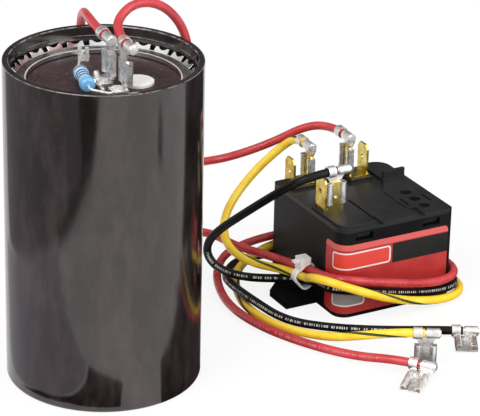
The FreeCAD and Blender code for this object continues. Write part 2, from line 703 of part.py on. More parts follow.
# Bleed resistor: thick rounded ends and a slimmer middle, lying on its side.
resistor = new_body("bleed_resistor")
end_round = d.resistor_radius * 0.45
waist = d.resistor_radius - d.resistor_waist
length = d.resistor_length
cap = d.resistor_cap
sketch = new_sketch(resistor, "bleed_resistor_sketch", "XY_Plane", 0)
outline(sketch, [
    (0, 0), (length, 0), (length, d.resistor_radius - end_round),
    (length - end_round, d.resistor_radius, end_round), (length - cap, d.resistor_radius),
    (length - cap - waist * 2, d.resistor_waist), (cap + waist * 2, d.resistor_waist),
    (cap, d.resistor_radius), (end_round, d.resistor_radius), (0, d.resistor_radius - end_round, end_round)])
feature = resistor.newObject("PartDesign::Revolution", "bleed_resistor_turned")
feature.Profile = sketch
feature.ReferenceAxis = (sketch, ["H_Axis"])
feature.Angle = 360.0
resistor.Tip = feature
resistor_z = disc_top + d.resistor_lift
place(resistor, d.resistor_x, d.resistor_y, resistor_z, d.resistor_turn)


def flag(name, placement, hand=1):
    # Flag receptacle. The blade enters from below, the lead leaves along +X at the barrel's height,
    # or along -X on the other hand.
    body = new_body(name)
    half = d.flag_width * 0.5
    back = -d.blade_thickness * 0.5
    lip = d.blade_thickness * 0.5 + d.flag_slack
    roll_x = half - d.flag_roll
    inner = d.flag_roll - d.flag_sheet
    slab(body, "rolls", "z", 0, d.flag_length, [[
        (-half, back - d.flag_sheet), (half, back - d.flag_sheet), (half, lip),
        (roll_x, lip + d.flag_roll, d.flag_roll), (roll_x - d.flag_roll, lip, d.flag_roll),
        (roll_x - inner, lip), (roll_x, lip + inner, -inner), (half - d.flag_sheet, lip, -inner),
        (half - d.flag_sheet, back), (-half + d.flag_sheet, back), (-half + d.flag_sheet, lip),
        (-roll_x, lip + inner, -inner), (inner - roll_x, lip, -inner), (d.flag_roll - roll_x, lip),
        (-roll_x, lip + d.flag_roll, d.flag_roll), (-half, lip, d.flag_roll)]])
    neck_half = d.flag_neck * 0.5
    reach = d.barrel_half - d.flag_sheet
    top = d.flag_rise - d.flag_sheet * 3
    slab(body, "neck", "y", back - d.flag_sheet, back, [[
        (-neck_half, d.flag_length - d.flag_sheet), (neck_half, d.flag_length - d.flag_sheet),
        (neck_half, d.flag_length + d.flag_sheet), (reach, top - d.flag_sheet), (reach, top),
        (-reach, top), (-reach, top - d.flag_sheet), (-neck_half, d.flag_length + d.flag_sheet)]])
    axis = (d.barrel_offset, d.flag_rise)
    crimp_end = d.crimp_length - d.barrel_half
    crimp_top = d.flag_rise - d.flag_sheet
    low, high = (-reach, crimp_end) if hand > 0 else (-crimp_end, reach)
    slab(body, "crimp_back", "y", back - d.flag_sheet, back, [box(low, top - d.flag_sheet, high, crimp_top)])
    inside = d.lead_diameter * 0.5 + d.sleeve_gap
    for part_name, low, high, shapes in (
            ("wire_crimp", -d.barrel_half, crimp_end,
             [("disc", axis[0], axis[1], d.crimp_radius)]),
            ("strands", -d.barrel_half - d.flag_sheet, d.strand_end,
             [("disc", axis[0], axis[1], d.strand_radius)]),
            ("sleeve", d.barrel_half - d.sleeve_length, d.barrel_half,
             [("disc", axis[0], axis[1], inside + d.sleeve_wall), ("disc", axis[0], axis[1], inside)])):
        if hand < 0:
            low, high = -high, -low
        slab(body, part_name, "x", low, high, shapes)
    body.Placement = placement
    return body


def value(size):
    return as_size(size).value


def standing(x, y, z, turn):
    return FreeCAD.Placement(
        FreeCAD.Vector(value(x), value(y), value(z)),
        FreeCAD.Rotation(FreeCAD.Vector(0, 0, 1), value(turn)))


relay_place = standing(d.relay_x, d.relay_y, 0, d.relay_turn)

# Relay housing: a cup with four snap windows and a mounting foot.
base_height = d.relay_height - d.plate_thickness
length = d.relay_length
depth = d.relay_depth
base = on_relay(new_body("relay_base"))
slab(base, "block", "z", 0, base_height, [box(0, 0, length, depth)])
rounded(base, "front_corner", d.front_round, upright(0, 0))
rounded(base, "far_corner", d.far_round, upright(length, depth))
rounded(base, "right_corner", d.corner_round, upright(length, 0))
rounded(base, "left_corner", d.corner_round, upright(0, depth))
wall = d.relay_wall
slab(base, "cavity", "z", d.relay_floor, base_height, [
    [(wall, d.front_round), (d.front_round, wall, d.front_round - wall), (length - wall, wall),
     (length - wall, depth - d.far_round), (length - d.far_round, depth - wall, d.far_round - wall),
     (wall, depth - wall)]], cut=True)
foot_end = d.foot_start + d.foot_width
slab(base, "foot", "z", 0, d.foot_thickness, [[
    (-d.foot_length, d.foot_start), (wall * 0.5, d.foot_start), (wall * 0.5, foot_end),
    (d.foot_cut - d.foot_length, foot_end), (-d.foot_length, foot_end - d.foot_cut)]])
slab(base, "ridge", "x", -d.foot_length + d.ridge_width, 0, [
    box(d.ridge_at - d.ridge_width * 0.5, d.foot_thickness * 0.5,
        d.ridge_at + d.ridge_width * 0.5, d.foot_thickness + d.ridge_height)])
window_low = d.relay_height - d.window_drop
window_high = window_low + d.window_height
slab(base, "windows", "y", 0, depth, [
    box(d.window_one, window_low, d.window_one + d.window_width, window_high),
    box(d.window_two, window_low, d.window_two + d.window_width, window_high)], cut=True)

# Relay cover: plate, locating lip, snap hooks, and the fields, grooves and holes on top.
cover = on_relay(new_body("relay_cover"))
slab(cover, "plate", "z", base_height, d.relay_height, [box(0, 0, length, depth)])
rounded(cover, "front_corner", d.front_round, upright(0, 0))
rounded(cover, "far_corner", d.far_round, upright(length, depth))
rounded(cover, "right_corner", d.corner_round, upright(length, 0))
rounded(cover, "left_corner", d.corner_round, upright(0, depth))
lip_at = wall + d.lip_gap
lip_in = lip_at + d.lip_thickness
slab(cover, "lip", "z", base_height - d.lip_depth, base_height, [
    [(lip_at, d.front_round), (d.front_round, lip_at, d.front_round - lip_at), (length - lip_at, lip_at),
     (length - lip_at, depth - d.far_round),
     (length - d.far_round, depth - lip_at, d.far_round - lip_at), (lip_at, depth - lip_at)],
    [(lip_in, d.front_round), (d.front_round, lip_in, d.front_round - lip_in), (length - lip_in, lip_in),
     (length - lip_in, depth - d.far_round),
     (length - d.far_round, depth - lip_in, d.far_round - lip_in), (lip_in, depth - lip_in)]])
catch_z = base_height - d.hook_top
for number, start in ((1, d.window_one), (2, d.window_two)):
    hook_low = start + (d.window_width - d.hook_width) * 0.5
    for side, near, tip in (
            ("front", lip_at + d.lip_thickness * 0.5, lip_at - d.hook_reach),
            ("back", depth - lip_at - d.lip_thickness * 0.5, depth - lip_at + d.hook_reach)):
        slab(cover, f"hook_{side}_{number}", "x", hook_low, hook_low + d.hook_width, [[
            (near, catch_z - d.hook_height), (tip, catch_z - d.hook_height * 0.45), (tip, catch_z),
            (near, catch_z)]])
top = d.relay_height
slab(cover, "raised", "z", top - d.plate_thickness * 0.5, top + d.raised_height, [[
    (d.raised_edge, d.raised_edge + d.raised_round),
    (d.raised_edge + d.raised_round, d.raised_edge, d.raised_round),
    (d.raised_length, d.raised_edge), (d.raised_length, d.raised_depth),
    (d.raised_edge, d.raised_depth)]])
slab(cover, "back_field", "z", top - d.recess_depth, top + 1, [[
    (d.field_start, d.field_front), (d.field_tip_x, d.field_front), (d.field_tip_x, d.field_tip_y),
    (d.field_end, d.field_front), (d.field_end, depth + 1), (d.field_start, depth + 1)]], cut=True)
slab(cover, "side_field", "z", top - d.recess_depth, top + 1, [
    box(d.side_start, d.side_front, d.side_end, d.side_back)], cut=True)
slab(cover, "block", "z", top - d.recess_depth - 0.2, top - d.recess_depth + d.block_height, [
    box(d.block_start, d.block_front, d.block_end, d.block_back)])
slab(cover, "rib", "z", top - d.plate_thickness * 0.5, top + d.rib_height, [
    box(d.rib_start, d.rib_at, length, d.rib_at + d.rib_thickness)])
catch_start = d.channel_at - d.catch_width * 0.5
slab(cover, "grooves", "z", top - d.groove_depth, top + 1, [
    box(d.groove_at - d.groove_width * 0.5, d.notch_reach + 0.4,
        d.groove_at + d.groove_width * 0.5, d.groove_end),
    [(catch_start, -1), (catch_start + d.catch_width, -1), (catch_start + d.catch_width, d.catch_reach),
     (d.channel_at + d.channel_width * 0.5, d.catch_reach),
     (d.channel_at + d.channel_width * 0.5, d.channel_end),
     (d.channel_at - d.channel_width * 0.5, d.channel_end),
     (d.channel_at - d.channel_width * 0.5, d.catch_reach), (catch_start, d.catch_reach)],
    box(d.notch_at, -1, d.notch_at + d.notch_width, d.notch_reach)], cut=True)
slab(cover, "slits", "z", base_height, top + 1, [
    box(d.slit_one, d.slit_front, d.slit_one + d.slit_width, d.slit_front + d.slit_length),
    box(d.slit_two, d.slit_front, d.slit_two + d.slit_width, d.slit_front + d.slit_length)], cut=True)
hole = slab(cover, "hole", "z", base_height, top + 1,
            [("disc", d.hole_at, d.hole_first, d.hole_radius)], cut=True)
holes = cover.newObject("PartDesign::LinearPattern", "relay_cover_holes")
holes.Originals = [hole]
holes.Direction = (hole.Profile[0], ["V_Axis"])
bind(holes, "Length", d.hole_pitch * (d.hole_count - 1))
holes.setExpression("Occurrences", "dims.hole_count")
holes.Occurrences = int(d.hole_count.value)
cover.Tip = holes

# Terminals: a flat foot on the cover, blades up, stakes down through slots of the cover.
block_top = top - d.recess_depth + d.block_height
raised_top = top + d.raised_height
thick_half = d.blade_thickness * 0.5
slot_half = thick_half + d.stake_slack


def twin_terminal(name, one, two, middle, seat_z, height, stake_at):
    terminal = on_relay(new_body(name))
    slab(terminal, "foot", "z", seat_z, seat_z + d.strap, [
        box(one - thick_half, middle - d.strap_lead, two + thick_half, middle + d.strap_back)])
    blade(terminal, "blade_1", "x", middle, one, seat_z + d.strap * 0.5, seat_z + height)
    blade(terminal, "blade_2", "x", middle, two, seat_z + d.strap * 0.5, seat_z + height)
    for number, at in ((1, one), (2, two)):
        slab(terminal, f"stake_{number}", "x", at - thick_half, at + thick_half, [
            box(stake_at, top - d.stake_depth, stake_at + d.stake_width, seat_z + d.strap * 0.5)])
    return [box(at - slot_half, stake_at - d.stake_slack, at + slot_half,
                stake_at + d.stake_width + d.stake_slack) for at in (one, two)]


slots = twin_terminal("terminal_back_left", d.left_one, d.left_two, d.left_middle, top,
                      d.left_height, d.left_stake)
slots += twin_terminal("terminal_back_right", d.right_one, d.right_two, d.right_middle, block_top,
                       d.right_height, d.right_stake)

# Front terminal: two blades at right angles on one foot, and one stake to the contact bracket.
bracket_top = base_height - d.bracket_room
bracket_low = bracket_top - d.strap
fixed_low = bracket_low - d.contact_height
contact_top = fixed_low - d.contact_gap
arm_top = contact_top - d.contact_height
armature_top = arm_top - d.arm_sheet
armature_low = armature_top - d.armature_sheet
frame_leg = armature_low - d.hinge_gap
terminal = on_relay(new_body("terminal_front"))
side_half = d.blade_width * 0.5
slab(terminal, "foot", "z", raised_top, raised_top + d.strap, [
    box(d.front_side - thick_half, d.front_face - thick_half, d.front_face_middle + side_half,
        d.front_side_middle + side_half)])
blade(terminal, "side", "x", d.front_side_middle, d.front_side, raised_top + d.strap * 0.5,
      raised_top + d.front_side_height)
blade(terminal, "face", "y", d.front_face_middle, d.front_face, raised_top + d.strap * 0.5,
      raised_top + d.front_face_height)
stake_half = d.stake_width * 0.5
slab(terminal, "stake", "y", d.front_stake_y - thick_half, d.front_stake_y + thick_half, [
    box(d.front_stake_x - stake_half, bracket_top, d.front_stake_x + stake_half, raised_top + d.strap * 0.5)])
slots.append(box(
    d.front_stake_x - stake_half - d.stake_slack, d.front_stake_y - slot_half,
    d.front_stake_x + stake_half + d.stake_slack, d.front_stake_y + slot_half))
slab(cover, "stake_slots", "z", base_height, top + 2, slots, cut=True)

# Printed label, wrapped round the front corner.
label = on_relay(new_body("relay_label"))
out = -d.label_sheet
slab(label, "wrap", "z", d.label_bottom, d.relay_height - d.label_drop, [[
    (out, d.label_side), (out, d.front_round), (d.front_round, out, d.front_round + d.label_sheet),
    (d.label_end, out), (d.label_end, 0), (d.front_round, 0), (0, d.front_round, -d.front_round),
    (0, d.label_side)]])

# Magnet: frame, core, bobbin and winding, standing on the floor of the housing.
plate_top = d.relay_floor + d.frame_sheet
bobbin_top = armature_low - d.core_gap - d.core_rise
magnet = on_relay(new_body("magnet_frame"))
slab(magnet, "angle", "y", d.coil_y - d.frame_width * 0.5, d.coil_y + d.frame_width * 0.5, [[
    (d.frame_start, d.relay_floor), (d.frame_end, d.relay_floor), (d.frame_end, frame_leg),
    (d.frame_end - d.frame_sheet, frame_leg), (d.frame_end - d.frame_sheet, plate_top),
    (d.frame_start, plate_top)]])
core = on_relay(new_body("coil_core"))
slab(core, "rod", "z", plate_top, bobbin_top + d.core_rise, [("disc", d.coil_x, d.coil_y, d.core_radius)])
bobbin = on_relay(new_body("coil_bobbin"))
core_hole = ("disc", d.coil_x, d.coil_y, d.core_radius + d.rivet_gap)
slab(bobbin, "hub", "z", plate_top, bobbin_top, [("disc", d.coil_x, d.coil_y, d.bobbin_hub), core_hole])
slab(bobbin, "lower_flange", "z", plate_top, plate_top + d.bobbin_flange,
     [("disc", d.coil_x, d.coil_y, d.bobbin_radius), core_hole])
slab(bobbin, "upper_flange", "z", bobbin_top - d.bobbin_flange, bobbin_top,
     [("disc", d.coil_x, d.coil_y, d.bobbin_radius), core_hole])
winding = on_relay(new_body("coil_winding"))
slab(winding, "turns", "z", plate_top + d.bobbin_flange, bobbin_top - d.bobbin_flange, [
    ("disc", d.coil_x, d.coil_y, d.winding_radius),
    ("disc", d.coil_x, d.coil_y, d.bobbin_hub + d.rivet_gap)])

# Moving side: armature, contact arm, contact and return spring turn together on the frame's edge.
armature_end = d.frame_end - d.frame_sheet * 0.5
armature = on_relay(new_body("armature"))
slab(armature, "plate", "z", armature_low, armature_top, [
    box(d.armature_start, d.coil_y - d.armature_width * 0.5, armature_end,
        d.coil_y + d.armature_width * 0.5)])
arm = on_relay(new_body("contact_arm"))
slab(arm, "leaf", "z", armature_top, arm_top, [
    box(d.arm_start, d.coil_y - d.arm_width * 0.5, d.arm_end, d.coil_y + d.arm_width * 0.5)])
moving = on_relay(new_body("moving_contact"))
slab(moving, "button", "z", arm_top, contact_top, [("disc", d.contact_x, d.coil_y, d.contact_radius)])
spring = on_relay(new_body("return_spring"))
spring_x = d.frame_end + d.spring_gap
slab(spring, "leaf", "y", d.coil_y - d.spring_width * 0.5, d.coil_y + d.spring_width * 0.5, [[
    (d.arm_end + d.arm_sheet, armature_top), (spring_x, armature_top),
    (spring_x, armature_top - d.spring_reach), (spring_x + d.arm_sheet, armature_top - d.spring_reach),
    (spring_x + d.arm_sheet, arm_top), (d.arm_end + d.arm_sheet, arm_top)]])

# Fixed side: contact and bracket, hung from the front terminal's stake.
fixed = on_relay(new_body("fixed_contact"))
slab(fixed, "button", "z", fixed_low, bracket_low, [("disc", d.contact_x, d.coil_y, d.contact_radius)])
bracket = on_relay(new_body("contact_bracket"))
slab(bracket, "strip", "z", bracket_low, bracket_top, [
    box(d.bracket_start, d.bracket_front, d.bracket_end, d.bracket_back)])

# Cable tie: a strap drawn tight round the three leads, with its head on top.
tie = on_relay(new_body("cable_tie"))
tie_corners = [(-d.tie_black_out, d.tie_black_up), (-d.tie_red_out, d.tie_red_up),
               (-d.tie_yellow_out, d.tie_yellow_up)]


def outward(start, end):
    # Unit vector square to the way from one corner to the next, pointing out of the tie.
    along = (as_size(end[0] - start[0]).value, as_size(end[1] - start[1]).value)
    span = math.hypot(*along)
    return along[1] / span, -along[0] / span


def tight(radius):
    # The outline that runs at one distance round the three corners.
    shape = []
    for number, (x, z) in enumerate(tie_corners):
        before = outward(tie_corners[number - 1], (x, z))
        after = outward((x, z), tie_corners[(number + 1) % 3])
        shape.append((x + radius * before[0], z + radius * before[1]))
        shape.append((x + radius * after[0], z + radius * after[1], radius))
    return shape


slab(tie, "strap", "y", d.tie_at - d.tie_width * 0.5, d.tie_at + d.tie_width * 0.5,
     [tight(d.tie_round + d.tie_thickness), tight(d.tie_round)])
upper, outer = tie_corners[1:]
slope = outward(upper, outer)
half_wall = d.tie_round + d.tie_thickness * 0.5
head_half = d.tie_head_width * 0.5
head_right = head_half - d.tie_head_out
head_left = -head_half - d.tie_head_out
head_low = upper[1] + half_wall
head_top = head_low + d.tie_head_height
shoulder = (upper[0] + half_wall * slope[0], upper[1] + half_wall * slope[1])
fall = -slope[0] / slope[1]
slab(tie, "head", "y", d.tie_at - head_half, d.tie_at + head_half, [[
    (head_right, head_low), (head_right, head_top), (head_left, head_top),
    (head_left, shoulder[1] + (head_left - shoulder[0]) * fall), shoulder]])
tail_low = head_top - d.tie_head_height * 0.6
slab(tie, "tail", "y", d.tie_at - d.tie_width * 0.4, d.tie_at + d.tie_width * 0.4, [
    box(head_left - d.tie_tail, tail_low, -d.tie_head_out, tail_low + d.tie_thickness)])

# Flag receptacles on the blades, each pushed down to its own height.
flag_on = {
    "flag_cap_1": standing(d.tab_one_x, d.tab_one_y, disc_top + 3.0, d.tab_turn),
    "flag_cap_2": standing(d.tab_two_x, d.tab_two_y, disc_top + 2.2, d.tab_turn + 180),
    "flag_relay_yellow": relay_place.multiply(standing(d.left_two, d.left_middle, top + 1.4, 90)),
    "flag_relay_red": relay_place.multiply(standing(d.right_one, d.right_middle, block_top + 3.2, 90)),
    "flag_relay_black": relay_place.multiply(
        standing(d.front_face_middle, d.front_face, raised_top + 2.3, 180)),
}


def lying(point, exit_way, up_way):
    # A flag that lies or stands free: its barrel's middle, its exit and the way from mouth to barrel.
    x = FreeCAD.Vector(*exit_way)
    x.normalize()
    z = FreeCAD.Vector(*up_way)
    z = z - x * z.dot(x)
    z.normalize()
    y = z.cross(x)
    turn = FreeCAD.Rotation(x, y, z, "ZXY")
    offset = turn.multVec(FreeCAD.Vector(0, value(d.barrel_offset), value(d.flag_rise)))
    return FreeCAD.Placement(FreeCAD.Vector(*point) - offset, turn)


flag_on["flag_free_yellow"] = lying((108.5, 6.4, 12.85), (-1, 0, 0), (0, 0, 1))
flag_on["flag_free_red"] = lying((107.2, -0.9, 4.5), (-0.93, 0.367, 0), (0.428, 0.879, 0.208))
flag_on["flag_free_black"] = lying((123.4, 30.3, 2.15), (-1, 0, 0), (0, 1, -0.026))
hand_of = {"flag_cap_2": -1}
for name, placement in flag_on.items():
    flag(name, placement, hand_of.get(name, 1))


def lead_start(name, distance):
    # A point on the lead's straight way out of its flag.
    along = (value(d.strand_end) + distance) * hand_of.get(name, 1)
    where = flag_on[name].multVec(FreeCAD.Vector(along, value(d.barrel_offset), value(d.flag_rise)))
    return (where.x, where.y, where.z)


def beside_of(x, y, turn, distance):
    angle = math.radians(value(turn))
    return (value(x) + math.cos(angle) * value(distance), value(y) + math.sin(angle) * value(distance))


def pipe(points, radius):
    # Straight runs joined by arcs as large as their two runs allow.
    route = [FreeCAD.Vector(*point) for point in points]
    edges = []
    at = route[0]
    path = 0.0
    smallest = 1e9
    for before, corner, after in zip(route, route[1:], route[2:]):
        come = corner - before
        go = after - corner
        shorter = min(come.Length, go.Length)
        turn = come.getAngle(go)
        come.normalize()
        go.normalize()
        start = corner - come * (0.45 * shorter)
        end = corner + go * (0.45 * shorter)
        arc_radius = 0.45 * shorter / math.tan(turn / 2)
        smallest = min(smallest, arc_radius)
        inward = go - come
        inward.normalize()
        middle = corner + inward * (arc_radius / math.cos(turn / 2) - arc_radius)
        edges.append(Part.LineSegment(at, start).toShape())
        edges.append(Part.Arc(start, middle, end).toShape())
        path += (start - at).Length + arc_radius * turn
        at = end
    edges.append(Part.LineSegment(at, route[-1]).toShape())
    path += (route[-1] - at).Length
    wire = Part.Wire(edges)
    section = Part.Wire(Part.makeCircle(radius, route[0], route[1] - route[0]))
    solid = wire.makePipeShell([section], True, True)
    if solid.ShapeType != "Solid":
        solid = Part.Solid(solid.Shells[0])
    return solid, path, smallest


def tube(name, points, radius):
    solid, path, smallest = pipe(points, radius)
    ideal = math.pi * radius * radius * path
    print(f"{name}: {len(points)} points, {path:.1f} long, least radius {smallest:.1f},"
          f" volume {100 * solid.Volume / ideal:.2f} % of section times length")
    feature = keep(doc.addObject("Part::Feature", name), name)
    feature.Shape = solid
    return feature


# Insulated leads: from flag to flag, first and last two points on the flags' own axes.
ROUTES = [
    ("lead_red_free", "flag_cap_1", 9.0, "flag_free_red", 9.0, [
        (-6.7, 21, 118), (-9.1, 32.7, 115.5), (-10.4, 38.7, 106.5), (-11, 39.7, 90.6),
        (-9.7, 42.1, 73.9), (-5.2, 46.4, 56.8), (0.7, 53, 39.8), (8.8, 62.5, 25.5), (18.5, 73.3, 17.3),
        (27.7, 80.5, 14.8), (35.2, 80.3, 13.6), (42.3, 72.7, 12.9), (56.9, 64.2, 12.6),
        (70.9, 52.9, 13), (75.7, 42.1, 15.5), (83, 39.2, 16.1), (93.8, 43.4, 13.6), (112.3, 52.5, 9.3),
        (121, 60.1, 8.9), (121.4, 68.8, 8.9), (113.8, 80, 8.9), (104.8, 96, 9.3), (98.8, 104.9, 10.2),
        (90.7, 106.2, 10.7), (80.1, 100.1, 11), (65.7, 90.4, 11.8), (50.4, 85.3, 10), (39.8, 83.4, 5.6),
        (36.2, 76.3, 2.4), (36.8, 62.1, 1.7), (41.6, 45.1, 1.7), (52.5, 30.2, 1.8), (67.7, 18.4, 1.7),
        (84.5, 9.4, 1.9),
    ]),
    ("lead_yellow", "flag_relay_yellow", 5.6, "flag_free_yellow", 9.0, [
        (59.7, 94.1, 44.3), (47.4, 90.6, 33.1), (38.3, 79.5, 22.6), (38.7, 69.5, 15.2),
        (47, 62.4, 11.3), (62.4, 57.4, 10.7), (68.5, 50.3, 11.1), (69.8, 41.3, 16), (75.6, 35.9, 17.1),
        (85, 35.1, 14.4), (99, 42.9, 7.2), (114.6, 52.8, 2.5), (123.3, 60.9, 1.7), (123.9, 70.3, 1.8),
        (116.9, 82.3, 1.7), (108.3, 97.7, 2.8), (101.9, 107.3, 5.3), (93.4, 109.3, 7.2),
        (82.8, 103.7, 8), (68.5, 94.3, 8.6), (52.6, 85.3, 6.7), (43.4, 75, 3), (43.1, 61.1, 1.7),
        (47.1, 44.6, 1.7), (58.9, 30.2, 1.7), (75.1, 19.7, 3.4), (88.1, 11.8, 8.7),
    ]),
    ("lead_black", "flag_relay_black", 6.6, "flag_free_black", 9.5, [
        (62.3, 51.9, 46.6), (47.3, 56.4, 34.1), (34.8, 62.7, 21.9), (32.1, 63.9, 14.8),
        (35.6, 62.4, 9.1), (45.6, 60, 6.1), (64.7, 58, 7.4), (72.9, 49.2, 10.2), (76, 41.1, 11.7),
        (82.4, 39.6, 11.9), (91.4, 44.5, 9.4), (106.2, 52.4, 5.6), (118.1, 57.9, 4.7),
        (122.4, 64.7, 4.5), (119.4, 74.1, 4.4), (108, 90, 4.3), (101.5, 102, 4.2), (95.3, 106.6, 4.6),
        (87.5, 103.9, 4.5), (74.3, 95.3, 4.2), (57.1, 88, 3.5), (43.2, 82.6, 2.6), (39.1, 71.7, 1.8),
        (41.3, 57.4, 4.9), (49.2, 44.7, 5.1), (61, 35.3, 1.8), (77, 30.8, 1.7), (96.2, 29.8, 1.8),
    ]),
    ("lead_red_link", "flag_cap_2", 5.5, "flag_relay_red", 8.0, [
        (3.6, 5, 122.1), (9.2, 11.6, 126.4), (18.4, 17.4, 123.9), (25.7, 24.9, 111.9),
        (26.6, 31.1, 93.9), (27.8, 39, 77.9), (27.2, 49.9, 64.5), (24.5, 63.8, 52), (24.5, 79.4, 41.4),
        (28.4, 93.5, 36.2), (39.5, 100.7, 35.4), (54.8, 101.7, 41.2), (67.9, 100.6, 49.2),
    ]),
]
for name, first, first_run, last, last_run, between in ROUTES:
    start = [lead_start(first, 0), lead_start(first, first_run)]
    finish = [lead_start(last, last_run), lead_start(last, 0)]
    tube(name, start + between + finish, value(d.lead_diameter) / 2)

# The resistor's thin leads: back to the lug, front to the second blade's foot, as one node.
resistor_back = beside_of(d.resistor_x, d.resistor_y, d.resistor_turn, d.resistor_length)
foot_level = disc_top + d.blade_thickness + d.thin_wire
back_bend = beside_of(*resistor_back, d.resistor_turn, d.thin_straight)
lug_face = lug_y - d.lug_back
back_route = [
    (*resistor_back, resistor_z), (*back_bend, resistor_z),
    ((lug_x + back_bend[0]) * 0.5, (lug_face + back_bend[1]) * 0.5, resistor_z + d.thin_rise),
    (lug_x, lug_face, disc_top + d.lug_height * 0.8)]
front_bend = beside_of(d.resistor_x, d.resistor_y, d.resistor_turn, -d.thin_straight)
foot_spot = beside(d.tab_two_x, d.tab_two_y, -d.thin_along, d.thin_across)
foot_bend = beside(d.tab_two_x, d.tab_two_y, -d.thin_along - d.thin_straight * 0.8,
                   d.thin_across + d.thin_straight * 0.6)
front_route = [
    (d.resistor_x, d.resistor_y, resistor_z), (*front_bend, resistor_z),
    (*foot_bend, foot_level), (*foot_spot, foot_level)]
thin = []
for route in (back_route, front_route):
    thin.append(pipe([tuple(value(part) for part in point) for point in route], value(d.thin_wire))[0])
leads = keep(doc.addObject("Part::Feature", "resistor_leads"), "resistor_leads")
leads.Shape = Part.makeCompound(thin)

doc.recompute()
for thing in doc.Objects:
    if "Invalid" in thing.State or "Error" in thing.State:
        raise ValueError(f"{thing.Name} failed: {thing.State}")
solids_of = {"resistor_leads": 2, "winding_tabs": 2, "terminal_rivets": 3}
for thing in nodes:
    if thing.Shape.isNull() or not thing.Shape.isValid():
        raise ValueError(f"{thing.Label} has no valid shape")
    if len(thing.Shape.Solids) != solids_of.get(thing.Label, 1):
        raise ValueError(f"{thing.Label} has {len(thing.Shape.Solids)} solids")

os.makedirs("parts", exist_ok=True)
facets = 0
for thing in nodes:
    thing.Shape.exportStep(f"parts/{thing.Label}.step")
    facets += len(thing.Shape.tessellate(0.1)[1])
print(f"{len(nodes)} nodes, about {facets} facets")
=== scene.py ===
import math
import bpy
from mathutils import Matrix, Vector


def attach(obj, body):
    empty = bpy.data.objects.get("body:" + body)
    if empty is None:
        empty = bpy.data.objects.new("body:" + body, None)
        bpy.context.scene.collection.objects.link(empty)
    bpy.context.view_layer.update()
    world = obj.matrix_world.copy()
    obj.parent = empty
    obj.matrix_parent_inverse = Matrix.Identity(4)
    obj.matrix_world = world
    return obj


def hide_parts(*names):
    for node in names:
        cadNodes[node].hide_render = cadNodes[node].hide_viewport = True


# Start capacitor and start relay on their leads, dressed for a studio shot.
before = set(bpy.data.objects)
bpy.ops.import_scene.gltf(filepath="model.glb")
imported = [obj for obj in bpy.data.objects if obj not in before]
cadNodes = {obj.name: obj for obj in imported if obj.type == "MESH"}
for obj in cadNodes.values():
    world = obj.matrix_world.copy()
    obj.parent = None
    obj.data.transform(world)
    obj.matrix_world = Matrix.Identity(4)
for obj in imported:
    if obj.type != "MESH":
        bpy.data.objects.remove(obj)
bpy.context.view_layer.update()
mm = 0.001
scene = bpy.context.scene
print("frame loaded:", len(cadNodes), "nodes")


def addObject(name, data):
    thing = bpy.data.objects.new(name, data)
    scene.collection.objects.link(thing)
    return thing


def addMesh(name, verts, faces):
    mesh = bpy.data.meshes.new(name)
    mesh.from_pydata(verts, [], faces)
    return addObject(name, mesh)


def emptyTree(owner):
    # The node tree of a material or a world, cleared.
    owner.use_nodes = True
    owner.node_tree.nodes.clear()
    return owner.node_tree


def fillInputs(tree, node, inputs):
    # Each input takes a value, or what another node gives.
    for key, value in inputs.items():
        if isinstance(value, bpy.types.NodeSocket):
            tree.links.new(value, node.inputs[key])
        else:
            node.inputs[key].default_value = value


def addNode(tree, kind, inputs=None, **settings):
    node = tree.nodes.new(kind)
    for key, value in settings.items():
        setattr(node, key, value)
    fillInputs(tree, node, inputs or {})
    return node.outputs


# Camera, as the photograph was taken: a long lens from a little above.
shot = {
    "place": (0.05025, -0.77568, 0.40453),
    "yaw": -0.412,
    "pitch": 23.948,
    "roll": 1.321,
    "lens": 194.385,  # on a 36 mm sensor
    "nearest": 0.01,
}


def addCamera(shot):
    yaw, pitch, roll = (math.radians(shot[key]) for key in ("yaw", "pitch", "roll"))
    ahead = Vector((math.sin(yaw) * math.cos(pitch), math.cos(yaw) * math.cos(pitch), -math.sin(pitch)))
    level = Vector((math.cos(yaw), -math.sin(yaw), 0))
    rise = level.cross(ahead)
    side = level * math.cos(roll) + rise * math.sin(roll)
    top = rise * math.cos(roll) - level * math.sin(roll)
    turn = Matrix((side, top, -ahead)).transposed().to_4x4()
    lensData = bpy.data.cameras.new("shotLens")
    lensData.lens = shot["lens"]
    lensData.clip_start = shot["nearest"]
    scene.camera = addObject("shotCamera", lensData)
    scene.camera.matrix_world = Matrix.Translation(shot["place"]) @ turn


addCamera(shot)

